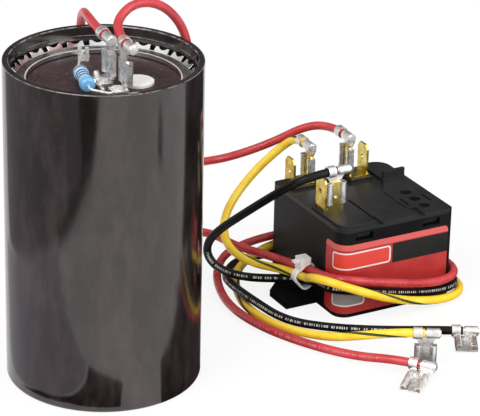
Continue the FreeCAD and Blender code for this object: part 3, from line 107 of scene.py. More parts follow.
# Leads: 16 gauge stranded copper in plastic insulation.
leadLook = {
    "thickness": 3.05 * mm,
    "roundness": 5,  # bevel steps
    "smoothness": 10,  # steps between two points
    "order": 3,  # points that shape each stretch
}
leadPoints = {
    "leadRedFree": [
        (0.0007, -0.0004, 0.119), (-0.0031, 0.0078, 0.119), (-0.0067, 0.021, 0.118),
        (-0.0091, 0.0327, 0.1155), (-0.0104, 0.0387, 0.1065), (-0.011, 0.0397, 0.0906),
        (-0.0097, 0.0421, 0.0739), (-0.0052, 0.0464, 0.0568), (0.0007, 0.053, 0.0398),
        (0.0088, 0.0625, 0.0255), (0.0185, 0.0733, 0.0173), (0.0277, 0.0805, 0.0148),
        (0.0352, 0.0803, 0.0136), (0.0423, 0.0727, 0.0129), (0.0569, 0.0642, 0.0126),
        (0.0709, 0.0529, 0.013), (0.0757, 0.0421, 0.0155), (0.083, 0.0392, 0.0161),
        (0.0938, 0.0434, 0.0136), (0.1123, 0.0525, 0.0093), (0.121, 0.0601, 0.0089),
        (0.1214, 0.0688, 0.0089), (0.1138, 0.08, 0.0089), (0.1048, 0.096, 0.0093), (0.0988, 0.1049, 0.0102),
        (0.0907, 0.1062, 0.0107), (0.0801, 0.1001, 0.011), (0.0657, 0.0904, 0.0118), (0.0504, 0.0853, 0.01),
        (0.0398, 0.0834, 0.0056), (0.0362, 0.0763, 0.0024), (0.0368, 0.0621, 0.0017),
        (0.0416, 0.0451, 0.0017), (0.0525, 0.0302, 0.0018), (0.0677, 0.0184, 0.0017),
        (0.0845, 0.0094, 0.0019), (0.0982, 0.0027, 0.0045), (0.1065, -0.0006, 0.0045),
    ],
    "leadYellow": [
        (0.067, 0.0852, 0.0483), (0.0642, 0.0901, 0.0483), (0.0597, 0.0941, 0.0443),
        (0.0474, 0.0906, 0.0331), (0.0383, 0.0795, 0.0226), (0.0387, 0.0695, 0.0152),
        (0.047, 0.0624, 0.0113), (0.0624, 0.0574, 0.0107), (0.0685, 0.0503, 0.0111),
        (0.0698, 0.0413, 0.016), (0.0756, 0.0359, 0.0171), (0.085, 0.0351, 0.0144), (0.099, 0.0429, 0.0072),
        (0.1146, 0.0528, 0.0025), (0.1233, 0.0609, 0.0017), (0.1239, 0.0703, 0.0018),
        (0.1169, 0.0823, 0.0017), (0.1083, 0.0977, 0.0028), (0.1019, 0.1073, 0.0053),
        (0.0934, 0.1093, 0.0072), (0.0828, 0.1037, 0.008), (0.0685, 0.0943, 0.0086),
        (0.0526, 0.0853, 0.0067), (0.0434, 0.075, 0.003), (0.0431, 0.0611, 0.0017),
        (0.0471, 0.0446, 0.0017), (0.0589, 0.0302, 0.0017), (0.0751, 0.0197, 0.0034),
        (0.0881, 0.0118, 0.0087), (0.0988, 0.0064, 0.0128), (0.1078, 0.0064, 0.0128),
    ],
    "leadBlack": [
        (0.0776, 0.0566, 0.05), (0.0718, 0.0534, 0.05), (0.0623, 0.0519, 0.0466), (0.0473, 0.0564, 0.0341),
        (0.0348, 0.0627, 0.0219), (0.0321, 0.0639, 0.0148), (0.0356, 0.0624, 0.0091),
        (0.0456, 0.06, 0.0061), (0.0647, 0.058, 0.0074), (0.0729, 0.0492, 0.0102), (0.076, 0.0411, 0.0117),
        (0.0824, 0.0396, 0.0119), (0.0914, 0.0445, 0.0094), (0.1062, 0.0524, 0.0056),
        (0.1181, 0.0579, 0.0047), (0.1224, 0.0647, 0.0045), (0.1194, 0.0741, 0.0044), (0.108, 0.09, 0.0043),
        (0.1015, 0.102, 0.0042), (0.0953, 0.1066, 0.0046), (0.0875, 0.1039, 0.0045),
        (0.0743, 0.0953, 0.0042), (0.0571, 0.088, 0.0035), (0.0432, 0.0826, 0.0026),
        (0.0391, 0.0717, 0.0018), (0.0413, 0.0574, 0.0049), (0.0492, 0.0447, 0.0051),
        (0.061, 0.0353, 0.0018), (0.077, 0.0308, 0.0017), (0.0962, 0.0298, 0.0018),
        (0.1132, 0.0303, 0.0022), (0.1227, 0.0303, 0.0022),
    ],
    "leadRedLink": [
        (0.0079, -0.0061, 0.1182), (0.0056, -0.0011, 0.1182), (0.0036, 0.005, 0.1221),
        (0.0092, 0.0116, 0.1264), (0.0184, 0.0174, 0.1239), (0.0257, 0.0249, 0.1119),
        (0.0266, 0.0311, 0.0939), (0.0278, 0.039, 0.0779), (0.0272, 0.0499, 0.0645),
        (0.0245, 0.0638, 0.052), (0.0245, 0.0794, 0.0414), (0.0284, 0.0935, 0.0362),
        (0.0395, 0.1007, 0.0354), (0.0548, 0.1017, 0.0412), (0.0679, 0.1006, 0.0492),
        (0.077, 0.0968, 0.0504), (0.081, 0.0899, 0.0504),
    ],
}
leadFacts = {  # node, material slot, what the far end holds, the pieces on it
    "leadRedFree": ("lead_red_free", "lead_red", "connector", ["flag_free_red"]),
    "leadYellow": ("lead_yellow", "lead_yellow", "connector", ["flag_free_yellow"]),
    "leadBlack": ("lead_black", "lead_black", "connector", ["flag_free_black"]),
    "leadRedLink": ("lead_red_link", "lead_red", "object", []),
}


def addPath(name, points):
    # A smooth line through space, with no thickness yet.
    line = bpy.data.curves.new(name, "CURVE")
    line.dimensions = "3D"
    line.resolution_u = leadLook["smoothness"]
    spline = line.splines.new("NURBS")
    spline.points.add(len(points) - 1)
    for knot, place in zip(spline.points, points):
        knot.co = (*place, 1.0)
    spline.order_u = leadLook["order"]
    spline.use_endpoint_u = True
    return addObject(name, line)


def plainMesh(thing):
    # The shape as Blender evaluates it, kept as a mesh of its own.
    bpy.context.view_layer.update()
    return bpy.data.meshes.new_from_object(thing.evaluated_get(bpy.context.evaluated_depsgraph_get()))


def pathSpots(path):
    mesh = plainMesh(path)
    spots = [v.co.copy() for v in mesh.vertices]
    bpy.data.meshes.remove(mesh)
    return spots


leads = {}
for leadName, points in leadPoints.items():
    lead = addPath(leadName, points)
    spots = pathSpots(lead)
    lead.data.bevel_depth = leadLook["thickness"] / 2
    lead.data.bevel_resolution = leadLook["roundness"]
    lead.data.use_fill_caps = True
    leads[leadName] = lead


class Graph:
    # A short hand for wiring shader nodes.
    sockets = {"colour": "Base Color", "rough": "Roughness", "metal": "Metallic", "ior": "IOR",
               "through": "Transmission Weight", "tint": "Specular Tint"}
    usual = (0.3, 0.7)  # where most of a noise lies
    bevelSamples = 4

    def __init__(self, name):
        self.finish = bpy.data.materials.new(name)
        self.tree = emptyTree(self.finish)
        self.shader = self.tree.nodes.new("ShaderNodeBsdfPrincipled")
        self.add("ShaderNodeOutputMaterial", {"Surface": self.shader.outputs[0]})
        self.space = self.add("ShaderNodeTexCoord")["Object"]

    def add(self, kind, inputs=None, **settings):
        return addNode(self.tree, kind, inputs, **settings)

    def sums(self, operation, first, second):
        return self.add("ShaderNodeMath", {0: first, 1: second}, operation=operation)[0]

    def weighted(self, first, firstWeight, second, secondWeight):
        return self.sums("ADD", self.sums("MULTIPLY", first, firstWeight),
                         self.sums("MULTIPLY", second, secondWeight))

    def arrows(self, operation, first, second=(0, 0, 0)):
        made = self.add("ShaderNodeVectorMath", {0: first, 1: second}, operation=operation)
        return made["Value" if operation in ("LENGTH", "DOT_PRODUCT") else "Vector"]

    def radius(self):
        # Distance from the upright axis, in millimetres.
        return self.arrows("LENGTH", self.arrows("MULTIPLY", self.space, (1 / mm, 1 / mm, 0)))

    def height(self):
        return self.arrows("DOT_PRODUCT", self.space, (0, 0, 1 / mm))

    def noise(self, scale, detail, roughness=0.55, space=None):
        return self.add("ShaderNodeTexNoise", {"Vector": space or self.space, "Scale": scale, "Detail": detail,
                                               "Roughness": roughness})["Fac"]

    def spread(self, value, low, high, toLow, toHigh):
        return self.add("ShaderNodeMapRange", dict(enumerate((value, low, high, toLow, toHigh))))[0]

    def gloss(self, value, rough):
        # Roughness that follows a noise.
        return self.spread(value, *self.usual, *rough)

    def within(self, value, low, high, soft):
        # One between two values and nothing outside them.
        return self.sums("MULTIPLY", self.spread(value, low - soft, low + soft, 0, 1),
                         self.spread(value, high - soft, high + soft, 1, 0))

    def patches(self, shape, space=None):
        # Scattered patches: scale, detail, roughness, where they start, where they are full, strength.
        scale, detail, roughness, start, full, strength = shape
        return self.spread(self.noise(scale, detail, roughness, space), start, full, 0.0, strength)

    def ramp(self, value, stops, hard=False):
        node = self.tree.nodes.new("ShaderNodeValToRGB")
        band = node.color_ramp
        band.interpolation = "CONSTANT" if hard else "LINEAR"
        while len(band.elements) < len(stops):
            band.elements.new(0.5)
        for element, (place, colour) in zip(band.elements, stops):
            element.position = place
            element.color = (*colour, 1)
        fillInputs(self.tree, node, {"Fac": value})
        return node.outputs["Color"]

    def twoTones(self, value, look):
        # From dark to light around the middle of a noise.
        return self.ramp(value, [(0.5 - look["softness"], look["dark"]), (0.5 + look["softness"], look["light"])])

    def blend(self, share, first, second):
        first, second = ((*colour, 1) if isinstance(colour, tuple) else colour for colour in (first, second))
        return self.add("ShaderNodeMix", {"Factor": share, 6: first, 7: second}, data_type="RGBA")[2]

    def moved(self, place=(0, 0, 0), turn=(0, 0, 0), size=(1, 1, 1)):
        return self.add("ShaderNodeMapping", {"Vector": self.space, "Location": place, "Rotation": turn,
                                              "Scale": size}, vector_type="TEXTURE")[0]

    def bumps(self, height, strength, depth, edge=0.0):
        # Relief from a height. With an edge, sharp corners catch light as if they were rounded.
        inputs = {"Strength": strength, "Distance": depth, "Height": height}
        if edge:
            inputs["Normal"] = self.add("ShaderNodeBevel", {"Radius": edge}, samples=self.bevelSamples)[0]
        fillInputs(self.tree, self.shader, {"Normal": self.add("ShaderNodeBump", inputs)[0]})

    def set(self, **values):
        for key, value in values.items():
            value = (*value, 1) if isinstance(value, tuple) else value
            fillInputs(self.tree, self.shader, {self.sockets[key]: value})


plainLook = {  # what a plain finish takes where its own look says nothing
    "softness": 0.18,
    "metal": 0.0,
    "ior": 1.5,
    "relief": 0.2,
    "depth": 0.02,  # of the relief, in millimetres
    "edge": 0.15,
    "cloudDetail": 4.0,
    "grainDetail": 2.0,
    "cloudShare": 0.6,  # of the gloss, the rest is the grain's
    "spotDetail": (5.0, 0.6),
    "spotRange": (0.74, 0.8),  # for the fewest spots
    "spotStrength": 0.85,
}


def plainFinish(name, look):
    # Two tones mixed by a coarse cloud, a fine grain in the gloss and in the relief, and worn or dirty spots.
    look = {**plainLook, **look}
    graph = Graph(name)
    cloud = graph.noise(look["cloud"], look["cloudDetail"])
    grain = graph.noise(look["grain"], look["grainDetail"])
    tone = graph.twoTones(cloud, look)
    if "spots" in look:
        scale, amount, colour = look["spots"]
        start, full = look["spotRange"]
        shape = (scale, *look["spotDetail"], start - amount, full - amount, look["spotStrength"])
        tone = graph.blend(graph.patches(shape), tone, colour)
    mixed = graph.weighted(cloud, look["cloudShare"], grain, 1 - look["cloudShare"])
    graph.set(colour=tone, rough=graph.gloss(mixed, look["rough"]), metal=look["metal"], ior=look["ior"])
    graph.bumps(grain, look["relief"], look["depth"] * mm, look["edge"] * mm)
    return graph


def dress(finish, nodeNames):
    for nodeName in nodeNames:
        thing = cadNodes[nodeName]
        if not thing.material_slots:
            thing.data.materials.append(finish)
        for place in thing.material_slots:
            place.material = finish


plastics = {
    "relayPlastic": {"dark": (0.003, 0.003, 0.0035), "light": (0.009, 0.0085, 0.009), "cloud": 60, "grain": 2600,
                     "rough": (0.36, 0.52), "relief": 0.4, "depth": 0.035, "ior": 1.21, "edge": 0.3,
                     "spots": (900, 0.02, (0.05, 0.05, 0.052)),
                     "on": ["relay_base"]},
    "coverPlastic": {"dark": (0.007, 0.007, 0.0075), "light": (0.016, 0.0155, 0.0165), "cloud": 70, "grain": 2300,
                     "rough": (0.38, 0.55), "relief": 0.45, "depth": 0.04, "ior": 1.42, "edge": 0.3,
                     "spots": (800, 0.04, (0.07, 0.069, 0.07)),
                     "on": ["relay_cover"]},
    "ventRubber": {"dark": (0.96, 0.96, 0.95), "light": (0.99, 0.99, 0.985), "cloud": 300, "grain": 1500,
                   "rough": (0.4, 0.55),
                   "on": ["vent_plug"]},
    "bobbinNylon": {"dark": (0.60, 0.56, 0.46), "light": (0.70, 0.66, 0.56), "cloud": 90, "grain": 1500,
                    "rough": (0.35, 0.5),
                    "on": ["coil_bobbin"]},
    "gasketRubber": {"dark": (0.012, 0.012, 0.012), "light": (0.022, 0.022, 0.022), "cloud": 90, "grain": 1800,
                     "rough": (0.6, 0.75),
                     "on": ["cover_gasket"]},
    "rollPaper": {"dark": (0.48, 0.40, 0.26), "light": (0.60, 0.52, 0.36), "cloud": 60, "grain": 900,
                  "rough": (0.6, 0.8),
                  "on": ["winding_roll"]},
}
metals = {
    "ringSteel": {"dark": (0.66, 0.66, 0.66), "light": (0.86, 0.86, 0.85), "cloud": 160, "grain": 2600,
                  "rough": (0.12, 0.24), "metal": 1.0, "relief": 0.08, "edge": 0.25,
                  "on": ["star_ring"]},
    "tinPlate": {"dark": (0.66, 0.635, 0.615), "light": (0.97, 0.96, 0.94), "cloud": 520, "grain": 1000,
                 "rough": (0.2, 0.42), "metal": 0.85, "relief": 0.5, "depth": 0.11, "edge": 0.2,
                 "spots": (700, 0.02, (0.50, 0.44, 0.36)),
                 "on": ["capacitor_tab_1", "capacitor_tab_2", "flag_cap_1", "flag_cap_2", "flag_relay_red",
                        "flag_relay_yellow", "flag_relay_black", "flag_free_red", "flag_free_yellow",
                        "flag_free_black"]},
    "solderTin": {"dark": (0.70, 0.70, 0.70), "light": (0.99, 0.99, 0.98), "cloud": 900, "grain": 1400,
                  "rough": (0.18, 0.45), "metal": 0.5, "relief": 0.6, "depth": 0.12,
                  "on": ["terminal_rivets", "solder_lug", "resistor_leads", "winding_tabs"]},
    "bladeBrass": {"dark": (0.42, 0.31, 0.055), "light": (0.84, 0.69, 0.24), "cloud": 260, "grain": 2400,
                   "rough": (0.16, 0.36), "metal": 1.0, "depth": 0.03,
                   "spots": (600, 0.04, (0.26, 0.15, 0.04)),
                   "on": ["terminal_back_left", "terminal_back_right", "terminal_front", "contact_bracket"]},
    "copperWire": {"dark": (0.42, 0.13, 0.05), "light": (0.72, 0.28, 0.13), "cloud": 260, "grain": 2400,
                   "rough": (0.22, 0.4), "metal": 1.0,
                   "on": ["coil_winding"]},
    "magnetIron": {"dark": (0.34, 0.34, 0.33), "light": (0.55, 0.55, 0.53), "cloud": 160, "grain": 1900,
                   "rough": (0.32, 0.5), "metal": 1.0,
                   "on": ["coil_core", "magnet_frame", "armature"]},
    "springBronze": {"dark": (0.55, 0.30, 0.13), "light": (0.75, 0.46, 0.22), "cloud": 160, "grain": 1900,
                     "rough": (0.22, 0.4), "metal": 1.0,
                     "on": ["contact_arm", "return_spring"]},
    "contactSilver": {"dark": (0.70, 0.70, 0.68), "light": (0.92, 0.92, 0.90), "cloud": 260, "grain": 1900,
                      "rough": (0.18, 0.32), "metal": 1.0,
                      "on": ["moving_contact", "fixed_contact"]},
}
graphs = {}
for finishName, look in {**plastics, **metals}.items():
    graphs[finishName] = plainFinish(finishName, look)
    dress(graphs[finishName].finish, look["on"])

# The push-on ring's inner lip is made partly matt, so its pale steel colour shows as a bright line: a painted
# highlight.
ringEdgeHighlight = {"radius": 25.3, "height": 104.8, "soft": 0.1, "matt": 0.75}


def paintRingEdgeHighlight(graph, look):
    # Less metal on the inner lip, high up, so it shows as a painted highlight line.
    inner = graph.spread(graph.radius(), look["radius"], look["radius"] + look["soft"], look["matt"], 0.0)
    upper = graph.spread(graph.height(), look["height"], look["height"] + look["soft"], 0.0, 1.0)
    graph.set(metal=graph.sums("SUBTRACT", 1.0, graph.sums("MULTIPLY", inner, upper)))


paintRingEdgeHighlight(graphs["ringSteel"], ringEdgeHighlight)

# Capacitor case: glossy moulded black, a little uneven, with fine dust and handling marks, a painted reflection
# haze and painted highlight lines along the rim's edges.
caseLook = {
    "dark": (0.004, 0.0028, 0.0028),
    "light": (0.010, 0.007, 0.007),
    "softness": 0.2,
    "cloud": (22, 4, 0.6),
    # Warm grey patches, lighter than the case and drawn out upwards: a painted reflection haze.
    "paintedReflectionHaze": (0.040, 0.031, 0.033),
    "paintedReflectionPatches": (90, 7, 0.74, 0.44, 0.70, 0.8),
    "dust": (0.07, 0.066, 0.066),
    "dustPatches": (1500, 2, 0.5, 0.735, 0.78, 0.5),
    # A pale colour along the rim's edges, broken up by noise: painted highlight lines where the edges catch light.
    "paintedRimHighlight": (0.42, 0.41, 0.41),
    "rimHighlightBreakup": (330, 4, 0.7, 0.42, 0.56, 1.0),
    "paintedHighlightEdges": [  # radius from, to, height from, to, strength
        (30.4, 30.75, 110.75, 111.2, 0.55), (32.25, 32.6, 110.7, 111.0, 0.3), (30.2, 31.0, 107.75, 107.98, 0.4)],
    "rimHighlightSoft": 0.04,
    "smearPatches": (46, 6, 0.7, 0.52, 0.75, 1.0),
    "gloss": (0.12, 0.22),
    "ior": 1.75,
    "tint": (1.0, 0.91, 0.91),  # of what it mirrors
    "drawn": 3,  # how far clouds and ripples are drawn out upwards
    "smearDrawn": 4,
    "ripple": (38, 1, 0.4),
    "grain": (900, 3, 0.6),
    "grainShare": 0.02,
    "relief": 0.3,
    "depth": 0.4,
    "edge": 0.3,
}


def caseFinish(look):
    graph = Graph("caseGloss")
    upright = graph.moved(size=(1, 1, look["drawn"]))
    tone = graph.twoTones(graph.noise(*look["cloud"], upright), look)
    # Painted reflection haze: lighter warm patches drawn out upwards.
    tone = graph.blend(graph.patches(look["paintedReflectionPatches"], upright), tone, look["paintedReflectionHaze"])
    tone = graph.blend(graph.patches(look["dustPatches"]), tone, look["dust"])
    radius, height, highlightBreakup = graph.radius(), graph.height(), graph.patches(look["rimHighlightBreakup"])
    # Painted highlight lines along the rim's edges, broken up by noise.
    for inner, outer, low, high, strength in look["paintedHighlightEdges"]:
        line = graph.sums("MULTIPLY", graph.within(radius, inner, outer, look["rimHighlightSoft"]),
                          graph.within(height, low, high, look["rimHighlightSoft"]))
        highlighted = graph.sums("MULTIPLY", graph.sums("MULTIPLY", line, highlightBreakup), strength)
        tone = graph.blend(highlighted, tone, look["paintedRimHighlight"])
    smears = graph.patches(look["smearPatches"], graph.moved(size=(1, 1, look["smearDrawn"])))
    graph.set(colour=tone, rough=graph.spread(smears, 0, 1, *look["gloss"]), ior=look["ior"], tint=look["tint"])
    ripple = graph.noise(*look["ripple"], upright)
    relief = graph.weighted(ripple, 1.0, graph.noise(*look["grain"]), look["grainShare"])
    graph.bumps(relief, look["relief"], look["depth"] * mm, look["edge"] * mm)
    return graph.finish


dress(caseFinish(caseLook), ["capacitor_case"])

# Cover disc: brown fibre laminate, fine speckled.
discLook = {
    "dark": (0.020, 0.009, 0.010),
    "light": (0.052, 0.024, 0.026),
    "softness": 0.12,
    "cloud": (120, 5, 0.65),
    "weave": (2400, 3, 0.6),
    "fleck": (0.26, 0.18, 0.17),
    "fleckPatches": (1500, 2, 0.5, 0.635, 0.70, 0.85),
    "rough": (0.45, 0.65),
    "relief": 0.5,
    "depth": 0.06,
}


def discFinish(look):
    graph = Graph("coverLaminate")
    cloud = graph.noise(*look["cloud"])
    weave = graph.noise(*look["weave"])
    tone = graph.twoTones(graph.weighted(cloud, 0.5, weave, 0.5), look)
    tone = graph.blend(graph.patches(look["fleckPatches"]), tone, look["fleck"])
    graph.set(colour=tone, rough=graph.gloss(cloud, look["rough"]))
    graph.bumps(weave, look["relief"], look["depth"] * mm)
    return graph.finish


dress(discFinish(discLook), ["cover_disc"])

# Bleed resistor: blue lacquer with painted bands, turned with its body.
resistorLook = {
    "front": (-4.1 * mm, -11.2 * mm, 0),
    "turn": 105.66,
    "length": 13.8 * mm,
    "body": (0.36, 0.57, 0.76),
    "cap": (0.15, 0.42, 0.72),
    "capEnd": 0.17,
    "bands": [(0.24, (0.012, 0.016, 0.05)), (0.38, (0.02, 0.018, 0.022)), (0.52, (0.035, 0.012, 0.012)),
              (0.66, (0.012, 0.016, 0.05)), (0.83, (0.10, 0.045, 0.02))],
    "bandWidth": 0.055,
    "waver": (500, 2),  # unevenness of the bands' edges
    "waverShare": 0.03,
    "cloud": (420, 3),
    "shade": (0.18, 0.38, 0.60),
    "shadeRange": (0.45, 0.7, 0.0, 0.35),
    "rough": (0.18, 0.32),
    "ior": 1.55,
    "relief": 0.25,
    "depth": 0.08,
}


def resistorFinish(look):
    graph = Graph("resistorLacquer")
    along = graph.moved(place=look["front"], turn=(0, 0, math.radians(look["turn"])), size=(look["length"],) * 3)
    waver = graph.sums("SUBTRACT", graph.noise(*look["waver"]), 0.5)
    place = graph.weighted(graph.add("ShaderNodeSeparateXYZ", {0: along})["X"], 1.0, waver, look["waverShare"])
    stops = [(0.0, look["cap"]), (look["capEnd"], look["body"])]
    for start, colour in look["bands"]:
        stops += [(start, colour), (start + look["bandWidth"], look["body"])]
    cloud = graph.noise(*look["cloud"])
    shaded = graph.spread(cloud, *look["shadeRange"])
    paint = graph.blend(shaded, graph.ramp(place, stops, hard=True), look["shade"])
    graph.set(colour=paint, rough=graph.gloss(cloud, look["rough"]), ior=look["ior"])
    graph.bumps(cloud, look["relief"], look["depth"] * mm)
    return graph.finish


dress(resistorFinish(resistorLook), ["bleed_resistor"])

# Cable tie: milky nylon.
tieLook = {
    "dark": (0.93, 0.93, 0.94),
    "light": (0.99, 0.98, 0.99),
    "softness": 0.15,
    "cloud": (260, 3),
    "grain": (900, 2),
    "rough": (0.22, 0.38),
    "through": 0.03,
    "ior": 1.5,
    "relief": 0.25,
    "depth": 0.05,
}


def tieFinish(look):
    graph = Graph("tieNylon")
    cloud = graph.noise(*look["cloud"])
    graph.set(colour=graph.twoTones(cloud, look), rough=graph.gloss(cloud, look["rough"]), through=look["through"],
              ior=look["ior"])
    graph.bumps(graph.noise(*look["grain"]), look["relief"], look["depth"] * mm)
    return graph.finish


dress(tieFinish(tieLook), ["cable_tie"])

# Lead insulation: soft plastic, slightly dull where it was handled.
insulationLook = {
    "softness": 0.16,
    "cloud": (130, 4, 0.6),
    "grimePatches": (75, 6, 0.65, 0.60, 0.74, 0.45),
    "rough": (0.22, 0.38),
    "ior": 1.5,
    "grain": (520, 2),
    "grainShare": 0.7,
    "lumps": (150, 2),
    "relief": 0.25,
    "depth": 0.1,
}
leadColours = {
    "leadRedFree": {"name": "redInsulation", "dark": (0.43, 0.024, 0.030), "light": (0.58, 0.050, 0.058),
                    "grime": (0.26, 0.017, 0.017)},
    "leadYellow": {"name": "yellowInsulation", "dark": (0.93, 0.57, 0.022), "light": (0.98, 0.73, 0.055),
                   "grime": (0.70, 0.36, 0.02)},
    "leadBlack": {"name": "blackInsulation", "dark": (0.003, 0.003, 0.003), "light": (0.008, 0.008, 0.008),
                  "grime": (0.03, 0.029, 0.028), "ior": 1.28},
}


def leadFinish(look):
    graph = Graph(look["name"])
    cloud = graph.noise(*look["cloud"])
    tone = graph.blend(graph.patches(look["grimePatches"]), graph.twoTones(cloud, look), look["grime"])
    graph.set(colour=tone, rough=graph.gloss(cloud, look["rough"]), ior=look["ior"])
    relief = graph.weighted(graph.noise(*look["grain"]), look["grainShare"], graph.noise(*look["lumps"]), 1.0)
    graph.bumps(relief, look["relief"], look["depth"] * mm)
    return graph.finish


insulation = {name: leadFinish({**insulationLook, **look}) for name, look in leadColours.items()}
insulation["leadRedLink"] = insulation["leadRedFree"]
for leadName, lead in leads.items():
    lead.data.materials.append(insulation[leadName])
print("finishes mixed")

# Printed wrap label, laid over its node: a red field with a stripe and plain blocks.
relayCorner = Vector((79.69, 40.61, 0)) * mm
relayTurn = math.radians(29.49)
labelLook = {
    "side": 9.6,  # reach on the left face
    "end": 44.1,  # reach on the front face
    "bottom": 1.5,
    "top": 27.9,
    "bend": 5.0,  # the housing's front corner
    "sheet": 0.2,
    "corner": 1.4,
    "pitch": 0.55,
    "unwrapped": 60,  # millimetres to one unit of the flat layout
    "dark": (0.40, 0.022, 0.021),
    "light": (0.48, 0.029, 0.026),
    "softness": 0.15,
    "wear": (140, 5, 0.6),
    "inks": {
        "stripe": (0.64, 0.105, 0.092),
        "panel": (0.70, 0.050, 0.034),
        "band": (0.010, 0.009, 0.009),
        "outline": (0.80, 0.74, 0.72),
        "patch": (0.30, 0.26, 0.255),
    },
    "blocks": [  # left, right, bottom, top, corner; then inset and ink, from the outside in
        ((-5, 60, 25.7, 40, 0.2), [(0.0, "stripe")]),
        ((28.6, 70, 17.9, 25.4, 0.2), [(0.0, "band")]),
        ((4.6, 27.9, 18.4, 24.9, 1.3), [(0.0, "outline"), (0.55, "panel")]),
        ((5.0, 17.8, 4.3, 10.9, 1.2), [(0.0, "outline"), (0.5, "patch")]),
    ],
    "blur": 0.06,  # of a block's edge
    "scuffPatches": (420, 6, 0.7, 0.66, 0.76, 0.35),
    "rough": (0.3, 0.45),
    "lumps": (180, 2),
    "relief": 0.12,
    "depth": 0.15,
}


def relayPoint(across, deep, high):
    across, deep = across * mm, deep * mm
    turned = Vector((math.cos(relayTurn) * across - math.sin(relayTurn) * deep,
                     math.sin(relayTurn) * across + math.cos(relayTurn) * deep, high * mm))
    return relayCorner + turned


def labelPath(reach, look):
    # Distance along the label, in millimetres, to its place and its outward way.
    straight = look["side"] - look["bend"]
    curve = look["bend"] * math.pi / 2
    if reach <= straight:
        return (0.0, look["side"] - reach), (-1.0, 0.0)
    if reach <= straight + curve:
        angle = (reach - straight) / look["bend"]
        way = (-math.cos(angle), -math.sin(angle))
        return (look["bend"] + way[0] * look["bend"], look["bend"] + way[1] * look["bend"]), way
    return (look["bend"] + reach - straight - curve, 0.0), (0.0, -1.0)


def addLabel(look):
    span = look["side"] - look["bend"] + look["bend"] * math.pi / 2 + look["end"] - look["bend"]
    count = round(span / look["pitch"])
    verts, faces, flats = [], [], []
    for step in range(count + 1):
        reach = span * step / count
        nearEnd = min(reach, span - reach)
        inset = 0.0
        if nearEnd < look["corner"]:
            inset = look["corner"] - math.sqrt(look["corner"] ** 2 - (look["corner"] - nearEnd) ** 2)
        (across, deep), way = labelPath(reach, look)
        for lift in (0.0, look["sheet"]):
            for high in (look["bottom"] + inset, look["top"] - inset):
                verts.append(relayPoint(across + way[0] * lift, deep + way[1] * lift, high))
                flats.append((reach / look["unwrapped"], high / look["unwrapped"]))
    for step in range(count):
        a, b = step * 4, step * 4 + 4
        faces += [(a + 2, b + 2, b + 3, a + 3), (a + 1, b + 1, b, a),
                  (a, b, b + 2, a + 2), (a + 3, b + 3, b + 1, a + 1)]
    last = count * 4
    faces += [(0, 2, 3, 1), (last + 1, last + 3, last + 2, last)]
    label = addMesh("relayWrap", verts, faces)
    layout = label.data.uv_layers.new(name="wrap")
    for loop in label.data.loops:
        layout.data[loop.index].uv = flats[loop.vertex_index]
    return label


def labelFinish(look):
    graph = Graph("labelPrint")
    flat = graph.add("ShaderNodeUVMap", uv_map="wrap")[0]
    flat = graph.arrows("MULTIPLY", flat, (look["unwrapped"], look["unwrapped"], 0))

    def block(left, right, low, high, corner):
        # Signed distance to a rounded block, in millimetres, negative inside.
        half = ((right - left) / 2 - corner, (high - low) / 2 - corner, 0)
        away = graph.arrows("SUBTRACT", flat, ((left + right) / 2, (low + high) / 2, 0))
        away = graph.arrows("SUBTRACT", graph.arrows("ABSOLUTE", away), half)
        return graph.sums("SUBTRACT", graph.arrows("LENGTH", graph.arrows("MAXIMUM", away, (0, 0, 0))), corner)

    wear = graph.noise(*look["wear"])
    tone = graph.twoTones(wear, look)
    for place, layers in look["blocks"]:
        distance = block(*place)
        for inset, ink in layers:
            inside = graph.spread(distance, -inset - look["blur"], -inset + look["blur"], 1.0, 0.0)
            tone = graph.blend(inside, tone, look["inks"][ink])
    tone = graph.blend(graph.patches(look["scuffPatches"]), tone, look["inks"]["outline"])
    graph.set(colour=tone, rough=graph.gloss(wear, look["rough"]))
    graph.bumps(graph.noise(*look["lumps"]), look["relief"], look["depth"] * mm)
    return graph.finish


label = addLabel(labelLook)
label.data.materials.append(labelFinish(labelLook))
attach(label, "kit")
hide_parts("relay_label")
print("label wrapped")

# Marks on the leads: short ink strokes, and a dark green stripe that winds along the yellow one.
markLook = {"lift": 0.02 * mm, "arcSteps": 4}
inkLook = {
    "cloud": 500,
    "grain": 1500,
    "rough": (0.4, 0.6),
    "sweep": 30.0,
    "shortest": 0.2 * mm,
    "longest": 0.66 * mm,
    "share": 0.86,  # of the places that carry a stroke
}
inkLooks = {
    "leadBlack": {"dark": (0.42, 0.413, 0.399), "light": (0.60, 0.59, 0.57), "start": 0.12, "end": 0.97,
                  "pitch": 0.86 * mm, "turn": -42.0, "seed": 3},
    "leadRedFree": {"dark": (0.42, 0.14, 0.14), "light": (0.60, 0.20, 0.20), "start": 0.66, "end": 0.97,
                    "pitch": 0.9 * mm, "turn": -42.0, "seed": 8},
}
stripeLooks = {
    "leadYellow": {"dark": (0.020, 0.045, 0.012), "light": (0.05, 0.09, 0.02), "cloud": 200, "grain": 1500,
                   "rough": (0.25, 0.4), "start": 0.01, "end": 0.985, "sweep": 36.0, "turns": 6.5, "turn": 212.0},
}


